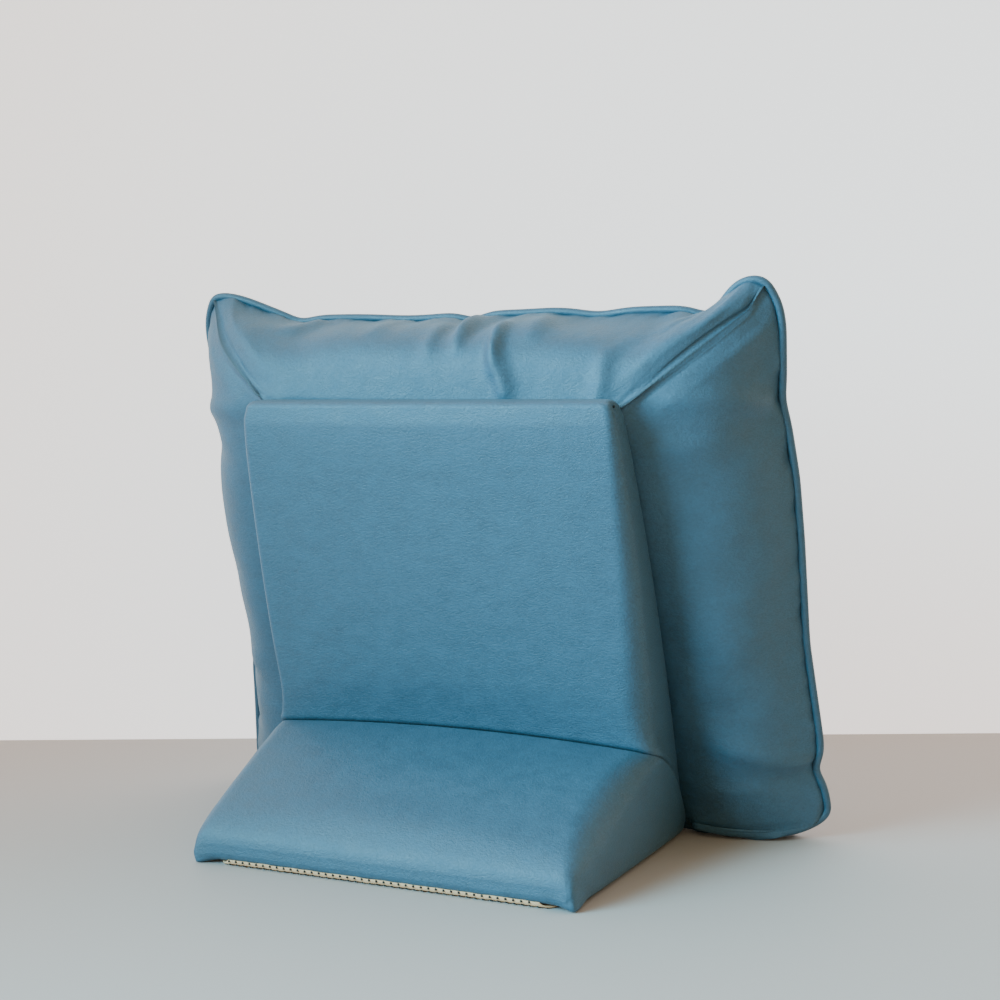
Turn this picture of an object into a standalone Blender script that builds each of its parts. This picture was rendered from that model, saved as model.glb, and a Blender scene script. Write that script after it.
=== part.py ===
"""Free-standing back cushion: a piped, loosely filled cushion on an L-shaped padded stand.

Units are metres, +Z up. While the pieces are drawn, X runs across, +Y points to the sitting side, Z 0 is
the floor and the back of the upright meets the floor on Y 0. Every piece is then moved by the same step,
so that the origin ends at the bottom centre of the whole part's box.
"""

import bpy
import numpy as np
from math import pi

# Overall sizes of the stand
FOOT_LENGTH = 0.288          # front edge of the foot to the foot of the upright's back
FOOT_SKEW = -0.0030          # the foot's front sits a little to the left
STAND_HALF = 0.191           # half width at the front edge and at the top
CREASE_HALF = 0.207          # half width at the crease, where the padding swells
CREASE_BACK = -0.123         # Y of the crease between foot and upright
CREASE_HEIGHT = 0.104
CREASE_RISE = 0.009          # how far the crease bows up in the middle
UPRIGHT_TOP = 0.436          # height of the upright
UPRIGHT_LEAN = -0.171        # Y of the upright's back at its top
UPRIGHT_THICK = 0.034        # thickness at the top
HEEL_HALF = 0.197            # half width where the seam between the pads ends
SEAM_BOW = 0.014             # how far that seam bows out on the stand's sides
UPRIGHT_EDGES = (0.015, 0.015)   # rounding of the upright's showing and hidden edges
FOOT_EDGES = (0.017, 0.005)      # rounding of the foot's upper and lower edges
SEAM_EDGES = (0.007, 0.004)      # the same where the two pads meet
TOP_ROUND = 0.013            # rounding of the upright's top
TOP_SLOPE = 0.004            # how far the upright's top falls from back to front
SEAM_SPREAD = 0.75           # the two pads' share of the gap each, a little over a half as the seam bends
HEEL_HEIGHT = 0.026          # where the seam between the pads ends
UPRIGHT_BELLY = 0.009        # how far the upright's sides bulge between crease and top
BACK_LEAD = 0.28             # how much faster the sections rise at the upright's back, low down
SEAM_FADE = 0.40             # share of the upright's height over which the seam's bow fades
CREASE_FADE = 0.15           # the same for the crease's extra width
CREASE_DIP = -0.001          # how far the face is drawn in along the crease
FACE_SWELL = 0.005           # how far a padded face stands proud in its middle

FOOT_DROOP = 0.006           # how far the foot's two lower front corners sag beside the grip sheet
FOOT_DROOP_REACH = 0.024     # how far in from the side and up from the floor they sag
FOOT_DROOP_DEEP = 0.030      # how far back from the front edge they sag

# Sections of the foot, from its front edge to the crease: Y and height of the section's upper end,
# Y and height above the grip sheet of its lower end, half width at its upper and at its lower end
FOOT_SECTIONS = (
    (-0.2880, 0.0200, -0.2880, 0.0085, 0.1870, 0.1890),
    (-0.2865, 0.0265, -0.2868, 0.0045, 0.1905, 0.1925),
    (-0.2830, 0.0330, -0.2840, 0.0018, 0.1925, 0.1940),
    (-0.2770, 0.0395, -0.2790, 0.0004, 0.1935, 0.1945),
    (-0.2680, 0.0465, -0.2690, 0.0000, 0.1940, 0.1950),
    (-0.2530, 0.0550, -0.2500, 0.0000, 0.1945, 0.1955),
    (-0.2300, 0.0670, -0.2200, 0.0000, 0.1955, 0.1960),
    (-0.2050, 0.0795, -0.1780, 0.0000, 0.1965, 0.1965),
    (-0.1800, 0.0905, -0.1300, 0.0000, 0.1985, 0.1970),
    (-0.1600, 0.0975, -0.0820, 0.0000, 0.2005, 0.1970),
    (-0.1460, 0.1015, -0.0450, 0.0000, 0.2030, 0.1970),
    (-0.1355, 0.1034, -0.0200, 0.0000, 0.2050, 0.1965),
    (-0.1290, 0.1042, -0.0085, 0.0020, 0.2060, 0.1960),
    (-0.1257, 0.1042, -0.0068, 0.0100, 0.2065, 0.1965),
)

# Overall sizes of the cushion
TOP_HEIGHT = 0.516           # the piping between the ears
EAR_HEIGHT = 0.5375          # the piping's corner at an ear, before it is rounded
EAR_LEFT = 0.295             # half widths at the ears
EAR_RIGHT = 0.302
CORNER_HEIGHT = 0.026        # the piping's lower corners
CORNER_HALF = 0.332
CORNER_BACK = 0.031
SIDE_BLEND = 0.10            # height over which the left side narrows by the ears' difference
PIPING_LEAN = -0.2475        # Y gained by the piping for each metre of height
PIPING_RADIUS = 0.0045
CROWN = 0.082                # how far the sitting face stands proud of the piping
CROWN_TIP = 0.0005           # the middle of the face beyond its last ring
FACE_HALF = 0.328            # half width of the filled face at the floor
FACE_TAPER = 0.030           # half width lost for each metre of height
FACE_MIDDLE = 0.262          # height of the face's middle
FACE_REACH = 0.259           # from there to its upper and lower edges
FACE_POWER = 2.6             # how flat the middle of the crown is
FACE_EASE = 0.60             # how steeply the crown rises from the piping
FACE_CALM = 0.05             # reach over which the piping's waviness dies out on the face
FLOOR_TURN = 0.5             # how far the cover beside the piping turns back along the floor
FLOOR_SAG = 0.045            # how far the fill would sink if the floor were not there
FLOOR_SAG_HEIGHT = 0.06      # height over which that sinking dies out
PANEL_BOTTOM = 0.020         # lower edge of the back panel
PANEL_CORNERS = {"left": (0.190, 0.437), "right": (0.187, 0.425)}   # half width, height
CORNER_SOFTNESS = 0.0085     # how softly the piping turns its corners
SEAM_GAP = 0.0009            # cover to cord, a little over the gap between pieces where the cord bends
CORNER_TUCK = 0.0008         # how much deeper the cover is tucked in at the piping's corners

GAP = 0.0003                 # between pieces
GRIP_THICK = 0.0026
GRIP_CLIP = 0.012            # cut off the grip sheet's corners
GRIP_INSET = (0.020, 0.005, 0.018)   # grip sheet, in from the foot's sides, front and heel
FLOOR_CLEAR = 0.0004         # cushion's flat underside above the floor plane

# Places where the piping is drawn in. Top edge: across, depth, spread
TOP_DIPS = (
    (-0.191, 0.0045, 0.013),
    (-0.060, 0.0030, 0.045),
    (0.006, 0.0070, 0.012),
    (0.090, -0.0010, 0.022),
    (0.138, 0.0040, 0.020),
    (0.247, 0.0085, 0.014),
)
# Rise of the top edge towards each ear: start across, end across, lift
EAR_RAMPS = ((-0.185, -0.284, 0.0255), (0.243, 0.286, 0.0255))
# Side edges: height, half width
SIDE_WIDTHS = (
    (0.026, 0.3300), (0.050, 0.3275), (0.105, 0.3255), (0.200, 0.3180), (0.300, 0.3190),
    (0.360, 0.3180), (0.437, 0.3105), (0.500, 0.3140), (0.518, 0.3120), (0.530, 0.3065), (0.5375, 0.3020),
)
# Side edges, places drawn in: height, depth, spread
RIGHT_KINKS = ((0.071, 0.0085, 0.011), (0.430, 0.0020, 0.012))
LEFT_KINKS = ((0.158, 0.0060, 0.012), (0.425, 0.0040, 0.012))
# Bottom edge: half across, Y, height
BOTTOM_EDGE = (
    (0.000, 0.0140, 0.0052), (0.190, 0.0085, 0.0052), (0.235, 0.0010, 0.0052), (0.272, 0.0005, 0.0055),
    (0.292, 0.0050, 0.0075), (0.306, 0.0150, 0.0105), (0.318, 0.0270, 0.0150), (0.332, 0.0310, 0.0260),
)

# Swell of the borders, along the loop: side, swell at its start, middle and end
BORDER_SWELL = {
    "top": (0.010, 0.030, 0.004),
    "right": (0.004, 0.030, 0.018),
    "bottom": (0.018, 0.000, 0.018),
    "left": (0.018, 0.034, 0.011),
}
BOTTOM_BLEND = 0.17          # share of the bottom over which the swell dies out from each corner
# Folds of the top border: across, start and end between piping (0) and panel (1), depth, spread, slant
TOP_FOLDS = (
    (-0.172, 0.00, 0.35, 0.0045, 0.014, -0.060),
    (-0.075, 0.10, 0.50, 0.0035, 0.014, -0.020),
    (-0.010, 0.20, 0.75, 0.0045, 0.011, 0.004),
    (0.017, 0.02, 0.65, 0.0080, 0.009, 0.006),
    (0.038, 0.00, 0.55, -0.0050, 0.012, -0.034),
    (0.064, 0.30, 1.00, 0.0080, 0.009, 0.024),
    (0.095, 0.15, 0.55, 0.0035, 0.010, 0.000),
    (0.178, 0.50, 1.00, 0.0060, 0.010, 0.010),
    (0.236, 0.00, 0.45, 0.0040, 0.013, -0.010),
)
# Folds of the side borders: height, start, end, depth, spread, slant
RIGHT_FOLDS = ((0.432, 0.00, 0.80, 0.0050, 0.013, 0.010), (0.088, 0.00, 0.70, 0.0050, 0.014, 0.030))
LEFT_FOLDS = ((0.425, 0.00, 0.80, 0.0050, 0.013, 0.000), (0.150, 0.00, 0.60, 0.0045, 0.014, 0.020))

# Steps in the meshes
ACROSS_STEPS = 52            # cushion, along the top and the bottom
UP_STEPS = 36                # cushion, along each side
BORDER_RINGS = 8
FACE_RINGS = 9
PIPING_SIDES = 8
EDGE_SAMPLES = 240           # points along each side before it is rounded
PAD_ACROSS = 14
PAD_DEEP = 8

COVER_BLUE = (0.105, 0.245, 0.345)
PIPING_BLUE = (0.085, 0.205, 0.290)
GRIP_TAN = (0.560, 0.440, 0.270)


def clear_scene():
    for old in list(bpy.data.objects):
        bpy.data.objects.remove(old, do_unlink=True)


def unit(vectors):
    return vectors / np.maximum(np.linalg.norm(vectors, axis=-1, keepdims=True), 1e-12)


def smoothstep(values):
    t = np.clip(values, 0.0, 1.0)
    return t * t * (3.0 - 2.0 * t)


def bump(values, centre, spread):
    return np.exp(-((values - centre) / spread) ** 2)


def column(rows, index):
    return [row[index] for row in rows]


def piping_back(height):
    """Y of the leaning piping at a height."""
    return CORNER_BACK + (height - CORNER_HEIGHT) * PIPING_LEAN


def panel_back(height):
    """Y of the cushion's back panel, which lies on the upright."""
    return UPRIGHT_LEAN / UPRIGHT_TOP * height + GAP


def top_edge():
    across = np.linspace(-EAR_LEFT, EAR_RIGHT, EDGE_SAMPLES, endpoint=False)
    height = np.full(EDGE_SAMPLES, TOP_HEIGHT)
    for start, end, lift in EAR_RAMPS:
        height = height + lift * smoothstep((across - start) / (end - start))
    for centre, depth, spread in TOP_DIPS:
        height = height - depth * bump(across, centre, spread)
    return np.stack([across, piping_back(height), height], axis=1)


def side_edge(sign, kinks):
    """One side, from the ear down to the lower corner."""
    height = np.linspace(EAR_HEIGHT, CORNER_HEIGHT, EDGE_SAMPLES, endpoint=False)
    half = np.interp(height, column(SIDE_WIDTHS, 0), column(SIDE_WIDTHS, 1))
    if sign < 0:
        half = half - (EAR_RIGHT - EAR_LEFT) * smoothstep((height - CORNER_HEIGHT) / SIDE_BLEND)
    for centre, depth, spread in kinks:
        half = half - depth * bump(height, centre, spread)
    return np.stack([sign * half, piping_back(height), height], axis=1)


def bottom_edge():
    across = np.linspace(CORNER_HALF, -CORNER_HALF, EDGE_SAMPLES, endpoint=False)
    back = np.interp(abs(across), column(BOTTOM_EDGE, 0), column(BOTTOM_EDGE, 1))
    height = np.interp(abs(across), column(BOTTOM_EDGE, 0), column(BOTTOM_EDGE, 2))
    return np.stack([across, back, height], axis=1)


def soften(loop, reach):
    """Round a closed loop of points by averaging each with its neighbours within about reach."""
    step = np.linalg.norm(np.roll(loop, -1, axis=0) - loop, axis=1).mean()
    span = int(3 * reach / step)
    weights = bump(np.arange(-span, span + 1) * step, 0.0, reach * 2 ** 0.5)
    turned = [np.roll(loop, shift, axis=0) for shift in range(-span, span + 1)]
    return np.tensordot(weights / weights.sum(), np.array(turned), axes=1)


def even_points(points, count):
    """Count points at even spacing along an open run, without its last one."""
    along = np.concatenate([[0.0], np.cumsum(np.linalg.norm(np.diff(points, axis=0), axis=1))])
    wanted = np.linspace(0.0, along[-1], count, endpoint=False)
    return np.stack([np.interp(wanted, along, points[:, axis]) for axis in range(3)], axis=1)


def piping_loop():
    """Centre line of the piping: top, right, bottom and left side, with a point on each corner."""
    left = side_edge(-1, LEFT_KINKS)
    left = np.concatenate([left[1:], bottom_edge()[:1] * (-1, 1, 1)])[::-1]
    sides = [top_edge(), side_edge(1, RIGHT_KINKS), bottom_edge(), left]
    loop = np.concatenate([even_points(np.concatenate([side, after[:1]]), EDGE_SAMPLES)
                           for side, after in zip(sides, sides[1:] + sides[:1])])
    loop = soften(loop, CORNER_SOFTNESS)
    closed = np.concatenate([loop, loop[:1]])
    counts = (ACROSS_STEPS, UP_STEPS, ACROSS_STEPS, UP_STEPS)
    return np.concatenate([even_points(closed[side * EDGE_SAMPLES:(side + 1) * EDGE_SAMPLES + 1], count)
                           for side, count in enumerate(counts)])


def side_share():
    """For each point of a loop, its side's number and its share of the way along that side."""
    counts = (ACROSS_STEPS, UP_STEPS, ACROSS_STEPS, UP_STEPS)
    number = np.concatenate([np.full(count, side) for side, count in enumerate(counts)])
    share = np.concatenate([np.arange(count) / count for count in counts])
    return number, share


def corner_nearness():
    """1 on a corner of the loop, falling to 0 within a few steps of it."""
    _, share = side_share()
    return bump(np.minimum(share, 1.0 - share) * UP_STEPS, 0.0, 2.0)


def panel_loop():
    """Edge of the back panel, point for point beside the piping loop."""
    left_half, left_top = PANEL_CORNERS["left"]
    right_half, right_top = PANEL_CORNERS["right"]
    corners = np.array([(-left_half, left_top), (right_half, right_top),
                        (right_half, PANEL_BOTTOM), (-left_half, PANEL_BOTTOM)])
    number, share = side_share()
    flat = corners[number] + (np.roll(corners, -1, axis=0) - corners)[number] * share[:, None]
    return np.stack([flat[:, 0], panel_back(flat[:, 1]), flat[:, 1]], axis=1)


def tangents(loop):
    return unit(np.roll(loop, -1, axis=0) - np.roll(loop, 1, axis=0))


def sitting_direction():
    return unit(np.array([0.0, 1.0, -PIPING_LEAN]))


def outward(loop):
    """Away from the cushion in the piping's plane, turned a little back along the floor."""
    away = unit(np.cross(tangents(loop), sitting_direction()))
    low = FLOOR_TURN * (1.0 - smoothstep(loop[:, 2:] / CORNER_HEIGHT))
    return unit(away - sitting_direction() * low)


def fold_depth(rows, along, share):
    """Depth of the folds at a place along a border and a share of the way from piping to panel."""
    depth = np.zeros_like(along)
    for centre, start, end, deep, spread, slant in rows:
        middle = (start + end) / 2
        window = np.clip(1.0 - (abs(share - middle) / ((end - start) / 2 + 0.05)) ** 2, 0.0, 1.0)
        depth = depth + deep * window * bump(along, centre + slant * (share - middle), spread)
    return depth


def border_swell():
    number, share = side_share()
    rows = [BORDER_SWELL[side] for side in ("top", "right", "bottom", "left")]
    start, middle, end = (np.array([row[index] for row in rows])[number] for index in range(3))
    ends = np.where(share < 0.5, start, end)
    blend = np.sin(pi * share) ** 0.55
    blend[number == 2] = smoothstep(np.minimum(share, 1.0 - share) / BOTTOM_BLEND)[number == 2]
    return ends + (middle - ends) * blend


def border_rings(seam, panel):
    """Rings from the piping seam to the edge of the back panel, swollen and folded."""
    number, _ = side_share()
    swell = border_swell()[:, None]
    rings = []
    for ring in range(BORDER_RINGS + 1):
        share = ring / BORDER_RINGS
        points = seam + (panel - seam) * share
        normal = unit(np.cross(panel - seam, unit(tangents(seam) + tangents(panel))))
        depth = np.where(number == 0, fold_depth(TOP_FOLDS, points[:, 0], share), 0.0)
        depth = np.where(number == 1, fold_depth(RIGHT_FOLDS, points[:, 2], share), depth)
        depth = np.where(number == 3, fold_depth(LEFT_FOLDS, points[:, 2], share), depth)
        edge = np.sin(pi * share) ** (0.8 + 0.6 * share) if 0 < ring < BORDER_RINGS else 0.0
        points = points + normal * (swell * edge - depth[:, None] * min(1.0, 2.0 * edge))
        rings.append(points)
    return rings


def face_crown(points):
    """How far the filled sitting face stands proud of the piping's plane; the ears stay flat."""
    height = points[:, 2]
    across = abs(points[:, 0]) / (FACE_HALF - FACE_TAPER * height)
    up = abs(height - FACE_MIDDLE) / FACE_REACH
    room = [np.clip(1.0 - share ** FACE_POWER, 0.0, 1.0) for share in (across, up)]
    return (CROWN * (room[0] * room[1]) ** FACE_EASE)[:, None]


def face_rings(seam):
    """Rings of the crowned sitting face, from the seam inwards, flat where they meet the floor."""
    calm = soften(seam, FACE_CALM)
    calm[:, 1] = piping_back(calm[:, 2])
    centre = calm.mean(axis=0)
    rings = []
    for ring in range(1, FACE_RINGS + 1):
        inward = (ring / (FACE_RINGS + 1)) ** 1.35
        scale = 1.0 - inward
        loop = calm + (seam - calm) * scale ** 6
        points = centre + (loop - centre) * scale
        sag = FLOOR_SAG * bump(points[:, 2], 0.0, FLOOR_SAG_HEIGHT)
        sag = sag * smoothstep((CORNER_HALF - abs(points[:, 0])) / FLOOR_SAG_HEIGHT)
        points = points + sitting_direction() * face_crown(points)
        points[:, 2] = np.maximum(points[:, 2] - sag, FLOOR_CLEAR)
        rings.append(points)
    return rings


def skin_rings(rings, faces, closed=True):
    """Quads between neighbouring rings of equal length."""
    count = len(rings[0])
    for ring in range(len(rings) - 1):
        for spot in range(count if closed else count - 1):
            after = (spot + 1) % count
            low = ring * count
            high = low + count
            faces.append((low + spot, low + after, high + after, high + spot))


def cushion_mesh():
    loop = piping_loop()
    seam = loop - outward(loop) * (PIPING_RADIUS + SEAM_GAP + CORNER_TUCK * corner_nearness())[:, None]
    borders = border_rings(seam, panel_loop())
    for ring in borders:
        ring[:, 2] = np.maximum(ring[:, 2], FLOOR_CLEAR)
        beyond = np.maximum(abs(ring[:, 0]) - STAND_HALF - UPRIGHT_BELLY, ring[:, 2] - UPRIGHT_TOP) - GAP
        ring[:, 1] = np.maximum(ring[:, 1], panel_back(ring[:, 2]) - 2.0 * np.maximum(beyond, 0.0))
    rings = borders[::-1] + face_rings(seam)
    faces = []
    skin_rings(rings, faces)
    count = len(loop)
    faces.append(tuple(range(count))[::-1])
    middle = rings[-1].mean(axis=0) + sitting_direction() * CROWN_TIP
    points = np.concatenate(rings + [middle[None]])
    last = len(points) - 1
    low = last - count
    faces += [(low + spot, low + (spot + 1) % count, last) for spot in range(count)]
    return points, faces


def piping_mesh():
    """A cord round the sitting face: rings of a circle square to the loop."""
    loop = piping_loop()
    along = tangents(loop)
    away = unit(outward(loop) - along * np.sum(outward(loop) * along, axis=1, keepdims=True))
    beside = np.cross(along, away)
    faces = []
    rings = []
    for side in range(PIPING_SIDES):
        turn = -2 * pi * (side + 0.5) / PIPING_SIDES
        rings.append(loop + PIPING_RADIUS * (np.cos(turn) * away + np.sin(turn) * beside))
    skin_rings(rings + rings[:1], faces)
    total = PIPING_SIDES * len(loop)
    return np.concatenate(rings), [tuple(corner % total for corner in face) for face in faces]


def rounded(distance, radius):
    """Where a point at this distance from a square corner lies once the corner is rounded.

    Gives its distance from the corner along its own edge, and how far it is drawn in from that edge.
    """
    angle = pi / 4 * np.clip(1.0 - distance / radius, 0.0, 1.0)
    along = distance if distance >= radius else radius * (1.0 - np.sin(angle))
    return float(along), float(radius * (1.0 - np.cos(angle)))


def flat_ring(depth, half_front, half_back, radii, swell):
    """A rounded oblong as (across, deep) pairs; radii are those of its front and of its back corners.

    The points run across the front, down the right side, across the back, and up the left side.
    """
    steps = np.linspace(-1.0, 1.0, PAD_ACROSS + 1)
    steps = np.sign(steps) * (1.0 - (1.0 - abs(steps)) ** 1.5)
    front = []
    back = []
    right = []
    for share in steps[:-1]:
        for run, half, radius, base, turn in ((front, half_front, radii[0], 0.0, 1),
                                              (back, half_back, radii[1], depth, -1)):
            along, drop = rounded((1.0 - abs(share)) * half, radius)
            run.append((turn * np.sign(share) * (half - along), base + turn * drop))
    for share in np.linspace(0.0, 1.0, PAD_DEEP + 1):
        near_front = share <= 0.5
        half = half_front + (half_back - half_front) * share + 0.35 * swell * np.sin(pi * share)
        along, drop = rounded(min(share, 1.0 - share) * depth, radii[0] if near_front else radii[1])
        right.append((half - drop, along if near_front else depth - along))
    left = [(-across, deep) for across, deep in right[::-1]]
    return front + right[:-1] + back + left[:-1]


def pad_ring(front, back, half_front, half_back, radii, swell, bow=0.0, rise=0.0, inset=0.0, skew=0.0):
    """One section of a pad, from its showing side (front) to its hidden side (back), both as (Y, Z).

    swell rounds the front, bow bends the way from front to back, rise lifts the middle of the front,
    inset shrinks the section, and skew shifts it across.
    """
    front = np.array(front)
    back = np.array(back)
    depth = np.linalg.norm(back - front)
    direction = (back - front) / depth
    normal = np.array([-direction[1], direction[0]])
    radii = [min(radius, 0.42 * depth) for radius in radii]
    ring = []
    for across, deep in flat_ring(depth, half_front, half_back, radii, swell):
        lateral = max(0.0, 1.0 - (across / half_front) ** 2)
        towards = 1.0 - deep / depth
        spot = front + direction * (inset + deep * (1.0 - 2.0 * inset / depth))
        spot = spot - direction * swell * lateral * towards ** 3
        spot = spot + normal * bow * np.sin(pi * deep / depth)
        spot = spot + np.array([0.0, rise]) * lateral * towards ** 2
        ring.append((across * (1.0 - inset / half_front) + skew, spot[0], spot[1]))
    return np.array(ring)


def crease_point():
    return np.array([CREASE_BACK, CREASE_HEIGHT])


def heel_point():
    """Where the seam between the two pads ends, low on the upright's back."""
    return np.array([UPRIGHT_LEAN / UPRIGHT_TOP * HEEL_HEIGHT, HEEL_HEIGHT])


def seam_ring(side):
    """The section both pads share, shifted by half a gap; side is +1 for the upright, -1 for the foot."""
    along = unit(heel_point() - crease_point())
    shift = side * SEAM_SPREAD * GAP * np.array([-along[1], along[0]])
    return pad_ring(crease_point() + shift, heel_point() + shift, CREASE_HALF, HEEL_HALF,
                    SEAM_EDGES, CREASE_DIP, bow=SEAM_BOW, rise=CREASE_RISE)


def upright_rings():
    top_front = np.array([UPRIGHT_LEAN - UPRIGHT_THICK, UPRIGHT_TOP - TOP_SLOPE])
    top_back = np.array([UPRIGHT_LEAN, UPRIGHT_TOP])
    rings = [seam_ring(+1)]
    for share in (0.02, 0.06, 0.12, 0.20, 0.32, 0.46, 0.60, 0.74, 0.86, 0.94):
        front = crease_point() + (top_front - crease_point()) * share
        back = heel_point() + (top_back - heel_point()) * (BACK_LEAD * share ** 0.5 * (1 - share) + share)
        fade = (1.0 - min(1.0, share / SEAM_FADE)) ** 2
        half = STAND_HALF + UPRIGHT_BELLY * np.sin(pi * share ** 0.7) ** 0.6
        half_front = half + (CREASE_HALF - half) * (1 - min(1.0, share / CREASE_FADE)) ** 2
        swell = FACE_SWELL * min(1.0, share / CREASE_FADE)
        rings.append(pad_ring(front, back, half_front, half, UPRIGHT_EDGES, swell,
                              bow=SEAM_BOW * fade, rise=CREASE_RISE * fade))
    lean = unit(top_back - heel_point())
    for turn in (0.25, 0.5, 0.72, 0.9):
        angle = turn * pi / 2
        inset = TOP_ROUND * (1.0 - np.cos(angle))
        lift = lean * TOP_ROUND * (np.sin(angle) - 1.0)
        rings.append(pad_ring(top_front + lift, top_back + lift, STAND_HALF, STAND_HALF, UPRIGHT_EDGES,
                              FACE_SWELL * 0.7, inset=inset))
    return rings


def foot_rings():
    ground = GRIP_THICK + GAP
    rings = []
    for top_back, top, low_back, low, half_top, half_low in FOOT_SECTIONS:
        share = (top_back + FOOT_LENGTH) / (CREASE_BACK + FOOT_LENGTH)
        fade = max(0.0, (share - 0.6) / 0.4) ** 2
        swell = FACE_SWELL * (1.0 - fade) * smoothstep(share / 0.2)
        rings.append(pad_ring((top_back, top), (low_back, ground + low), half_top, half_low,
                              FOOT_EDGES, swell, bow=SEAM_BOW * fade, rise=CREASE_RISE * fade,
                              skew=FOOT_SKEW * (1.0 - share)))
    rings.append(seam_ring(-1))
    for ring in rings:
        beside = smoothstep((abs(ring[:, 0]) - STAND_HALF + GRIP_INSET[0]) / FOOT_DROOP_REACH)
        front = 1.0 - smoothstep((ring[:, 1] + FOOT_LENGTH) / FOOT_DROOP_DEEP)
        droop = beside * front * (1.0 - smoothstep(ring[:, 2] / FOOT_DROOP_REACH))
        ring[:, 0] += np.sign(ring[:, 0]) * droop * FOOT_DROOP * 0.5
        ring[:, 1] -= droop * FOOT_DROOP * 0.4
        ring[:, 2] -= droop * FOOT_DROOP
        ring[:, 2] = np.maximum(ring[:, 2], ground + (FLOOR_CLEAR - ground) * beside * front)
    return rings


def cap(ring):
    """A grid over the end ring of a pad, between its front, back and two sides."""
    top = np.append(np.arange(0, PAD_ACROSS), PAD_ACROSS)
    right = np.arange(PAD_ACROSS, PAD_ACROSS + PAD_DEEP + 1)
    bottom = np.arange(PAD_ACROSS + PAD_DEEP, 2 * PAD_ACROSS + PAD_DEEP + 1)[::-1]
    left = (np.arange(2 * PAD_ACROSS + PAD_DEEP, 2 * (PAD_ACROSS + PAD_DEEP) + 1) % len(ring))[::-1]
    inner = []
    index = np.zeros((PAD_DEEP + 1, PAD_ACROSS + 1), dtype=int)
    index[0], index[-1] = top, bottom
    index[:, 0], index[:, -1] = left, right
    for row in range(1, PAD_DEEP):
        for col in range(1, PAD_ACROSS):
            u, v = col / PAD_ACROSS, row / PAD_DEEP
            edges = ((1 - v) * ring[top[col]] + v * ring[bottom[col]]
                     + (1 - u) * ring[left[row]] + u * ring[right[row]])
            corners = ((1 - v) * ((1 - u) * ring[top[0]] + u * ring[top[-1]])
                       + v * ((1 - u) * ring[bottom[0]] + u * ring[bottom[-1]]))
            index[row, col] = len(ring) + len(inner)
            inner.append(edges - corners)
    return index, np.array(inner)


def pad_mesh(rings):
    """A closed pad: sections joined by quads and closed by a grid at each end."""
    faces = []
    skin_rings(rings, faces)
    points = [np.concatenate(rings)]
    count = len(rings[0])
    total = count * len(rings)
    for ring, start, flip in ((rings[0], 0, True), (rings[-1], total - count, False)):
        index, inner = cap(ring)
        lookup = np.where(index < count, index + start, index - count + total)
        total += len(inner)
        points.append(inner)
        for row in range(PAD_DEEP):
            for col in range(PAD_ACROSS):
                quad = (lookup[row, col], lookup[row, col + 1], lookup[row + 1, col + 1], lookup[row + 1, col])
                faces.append(quad[::-1] if flip else quad)
    return np.concatenate(points), faces


def grip_mesh():
    """A thin flat sheet with clipped corners under the foot."""
    side, front, heel = GRIP_INSET
    half = STAND_HALF - side
    near = -FOOT_LENGTH + front
    far = -heel
    clip = GRIP_CLIP
    outline = [(-half + clip, near), (half - clip, near), (half, near + clip), (half, far - clip),
               (half - clip, far), (-half + clip, far), (-half, far - clip), (-half, near + clip)]
    count = len(outline)
    points = [(x, y, z) for z in (0.0, GRIP_THICK) for x, y in outline]
    faces = [tuple(range(count))[::-1], tuple(range(count, 2 * count))]
    faces += [(spot, (spot + 1) % count, (spot + 1) % count + count, spot + count) for spot in range(count)]
    return np.array(points), faces


def material(name, colour, roughness, sheen=0.0):
    made = bpy.data.materials.new(name)
    made.use_nodes = True
    shader = made.node_tree.nodes["Principled BSDF"]
    shader.inputs["Base Color"].default_value = (*colour, 1.0)
    shader.inputs["Roughness"].default_value = roughness
    shader.inputs["Metallic"].default_value = 0.0
    shader.inputs["Sheen Weight"].default_value = sheen
    return made


def add_piece(name, shape, finish, smooth=True):
    points, faces = shape
    mesh = bpy.data.meshes.new(name)
    mesh.from_pydata(points.tolist(), [], [tuple(int(corner) for corner in face) for face in faces])
    mesh.materials.append(finish)
    piece = bpy.data.objects.new(name, mesh)
    bpy.context.scene.collection.objects.link(piece)
    if smooth:
        mesh.shade_smooth()
    mesh.validate()
    return piece


def stand_on_origin(pieces):
    """Move every piece by one step, so that the origin is the bottom centre of the part's box."""
    corners = np.array([vertex.co for piece in pieces for vertex in piece.data.vertices])
    low, high = corners.min(axis=0), corners.max(axis=0)
    for piece in pieces:
        piece.location = (-(low[0] + high[0]) / 2, -(low[1] + high[1]) / 2, -low[2])


def main():
    clear_scene()
    pieces = [
        add_piece("cushion", cushion_mesh(), material("cushion_cover", COVER_BLUE, 0.55, 0.15)),
        add_piece("piping", piping_mesh(), material("piping_cover", PIPING_BLUE, 0.50, 0.10)),
        add_piece("upright_pad", pad_mesh(upright_rings()), material("upright_cover", COVER_BLUE, 0.55, 0.15)),
        add_piece("foot_pad", pad_mesh(foot_rings()), material("foot_cover", COVER_BLUE, 0.55, 0.15)),
        add_piece("grip_sheet", grip_mesh(), material("grip_cloth", GRIP_TAN, 0.85), smooth=False),
    ]
    stand_on_origin(pieces)


main()
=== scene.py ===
"""Looks of the free-standing back cushion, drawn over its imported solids.

Shapes are drawn in the solids' drawing frame: X runs across, +Y points to the sitting side, Z 0 is the
floor, and the back of the upright meets the floor on Y 0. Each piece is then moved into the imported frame
by one step, which comes from the grip sheet's box. Lengths are in metres.
"""

import bmesh
import bpy
import numpy as np
from math import cos, pi, radians, sin
from mathutils import Matrix, Vector


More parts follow.
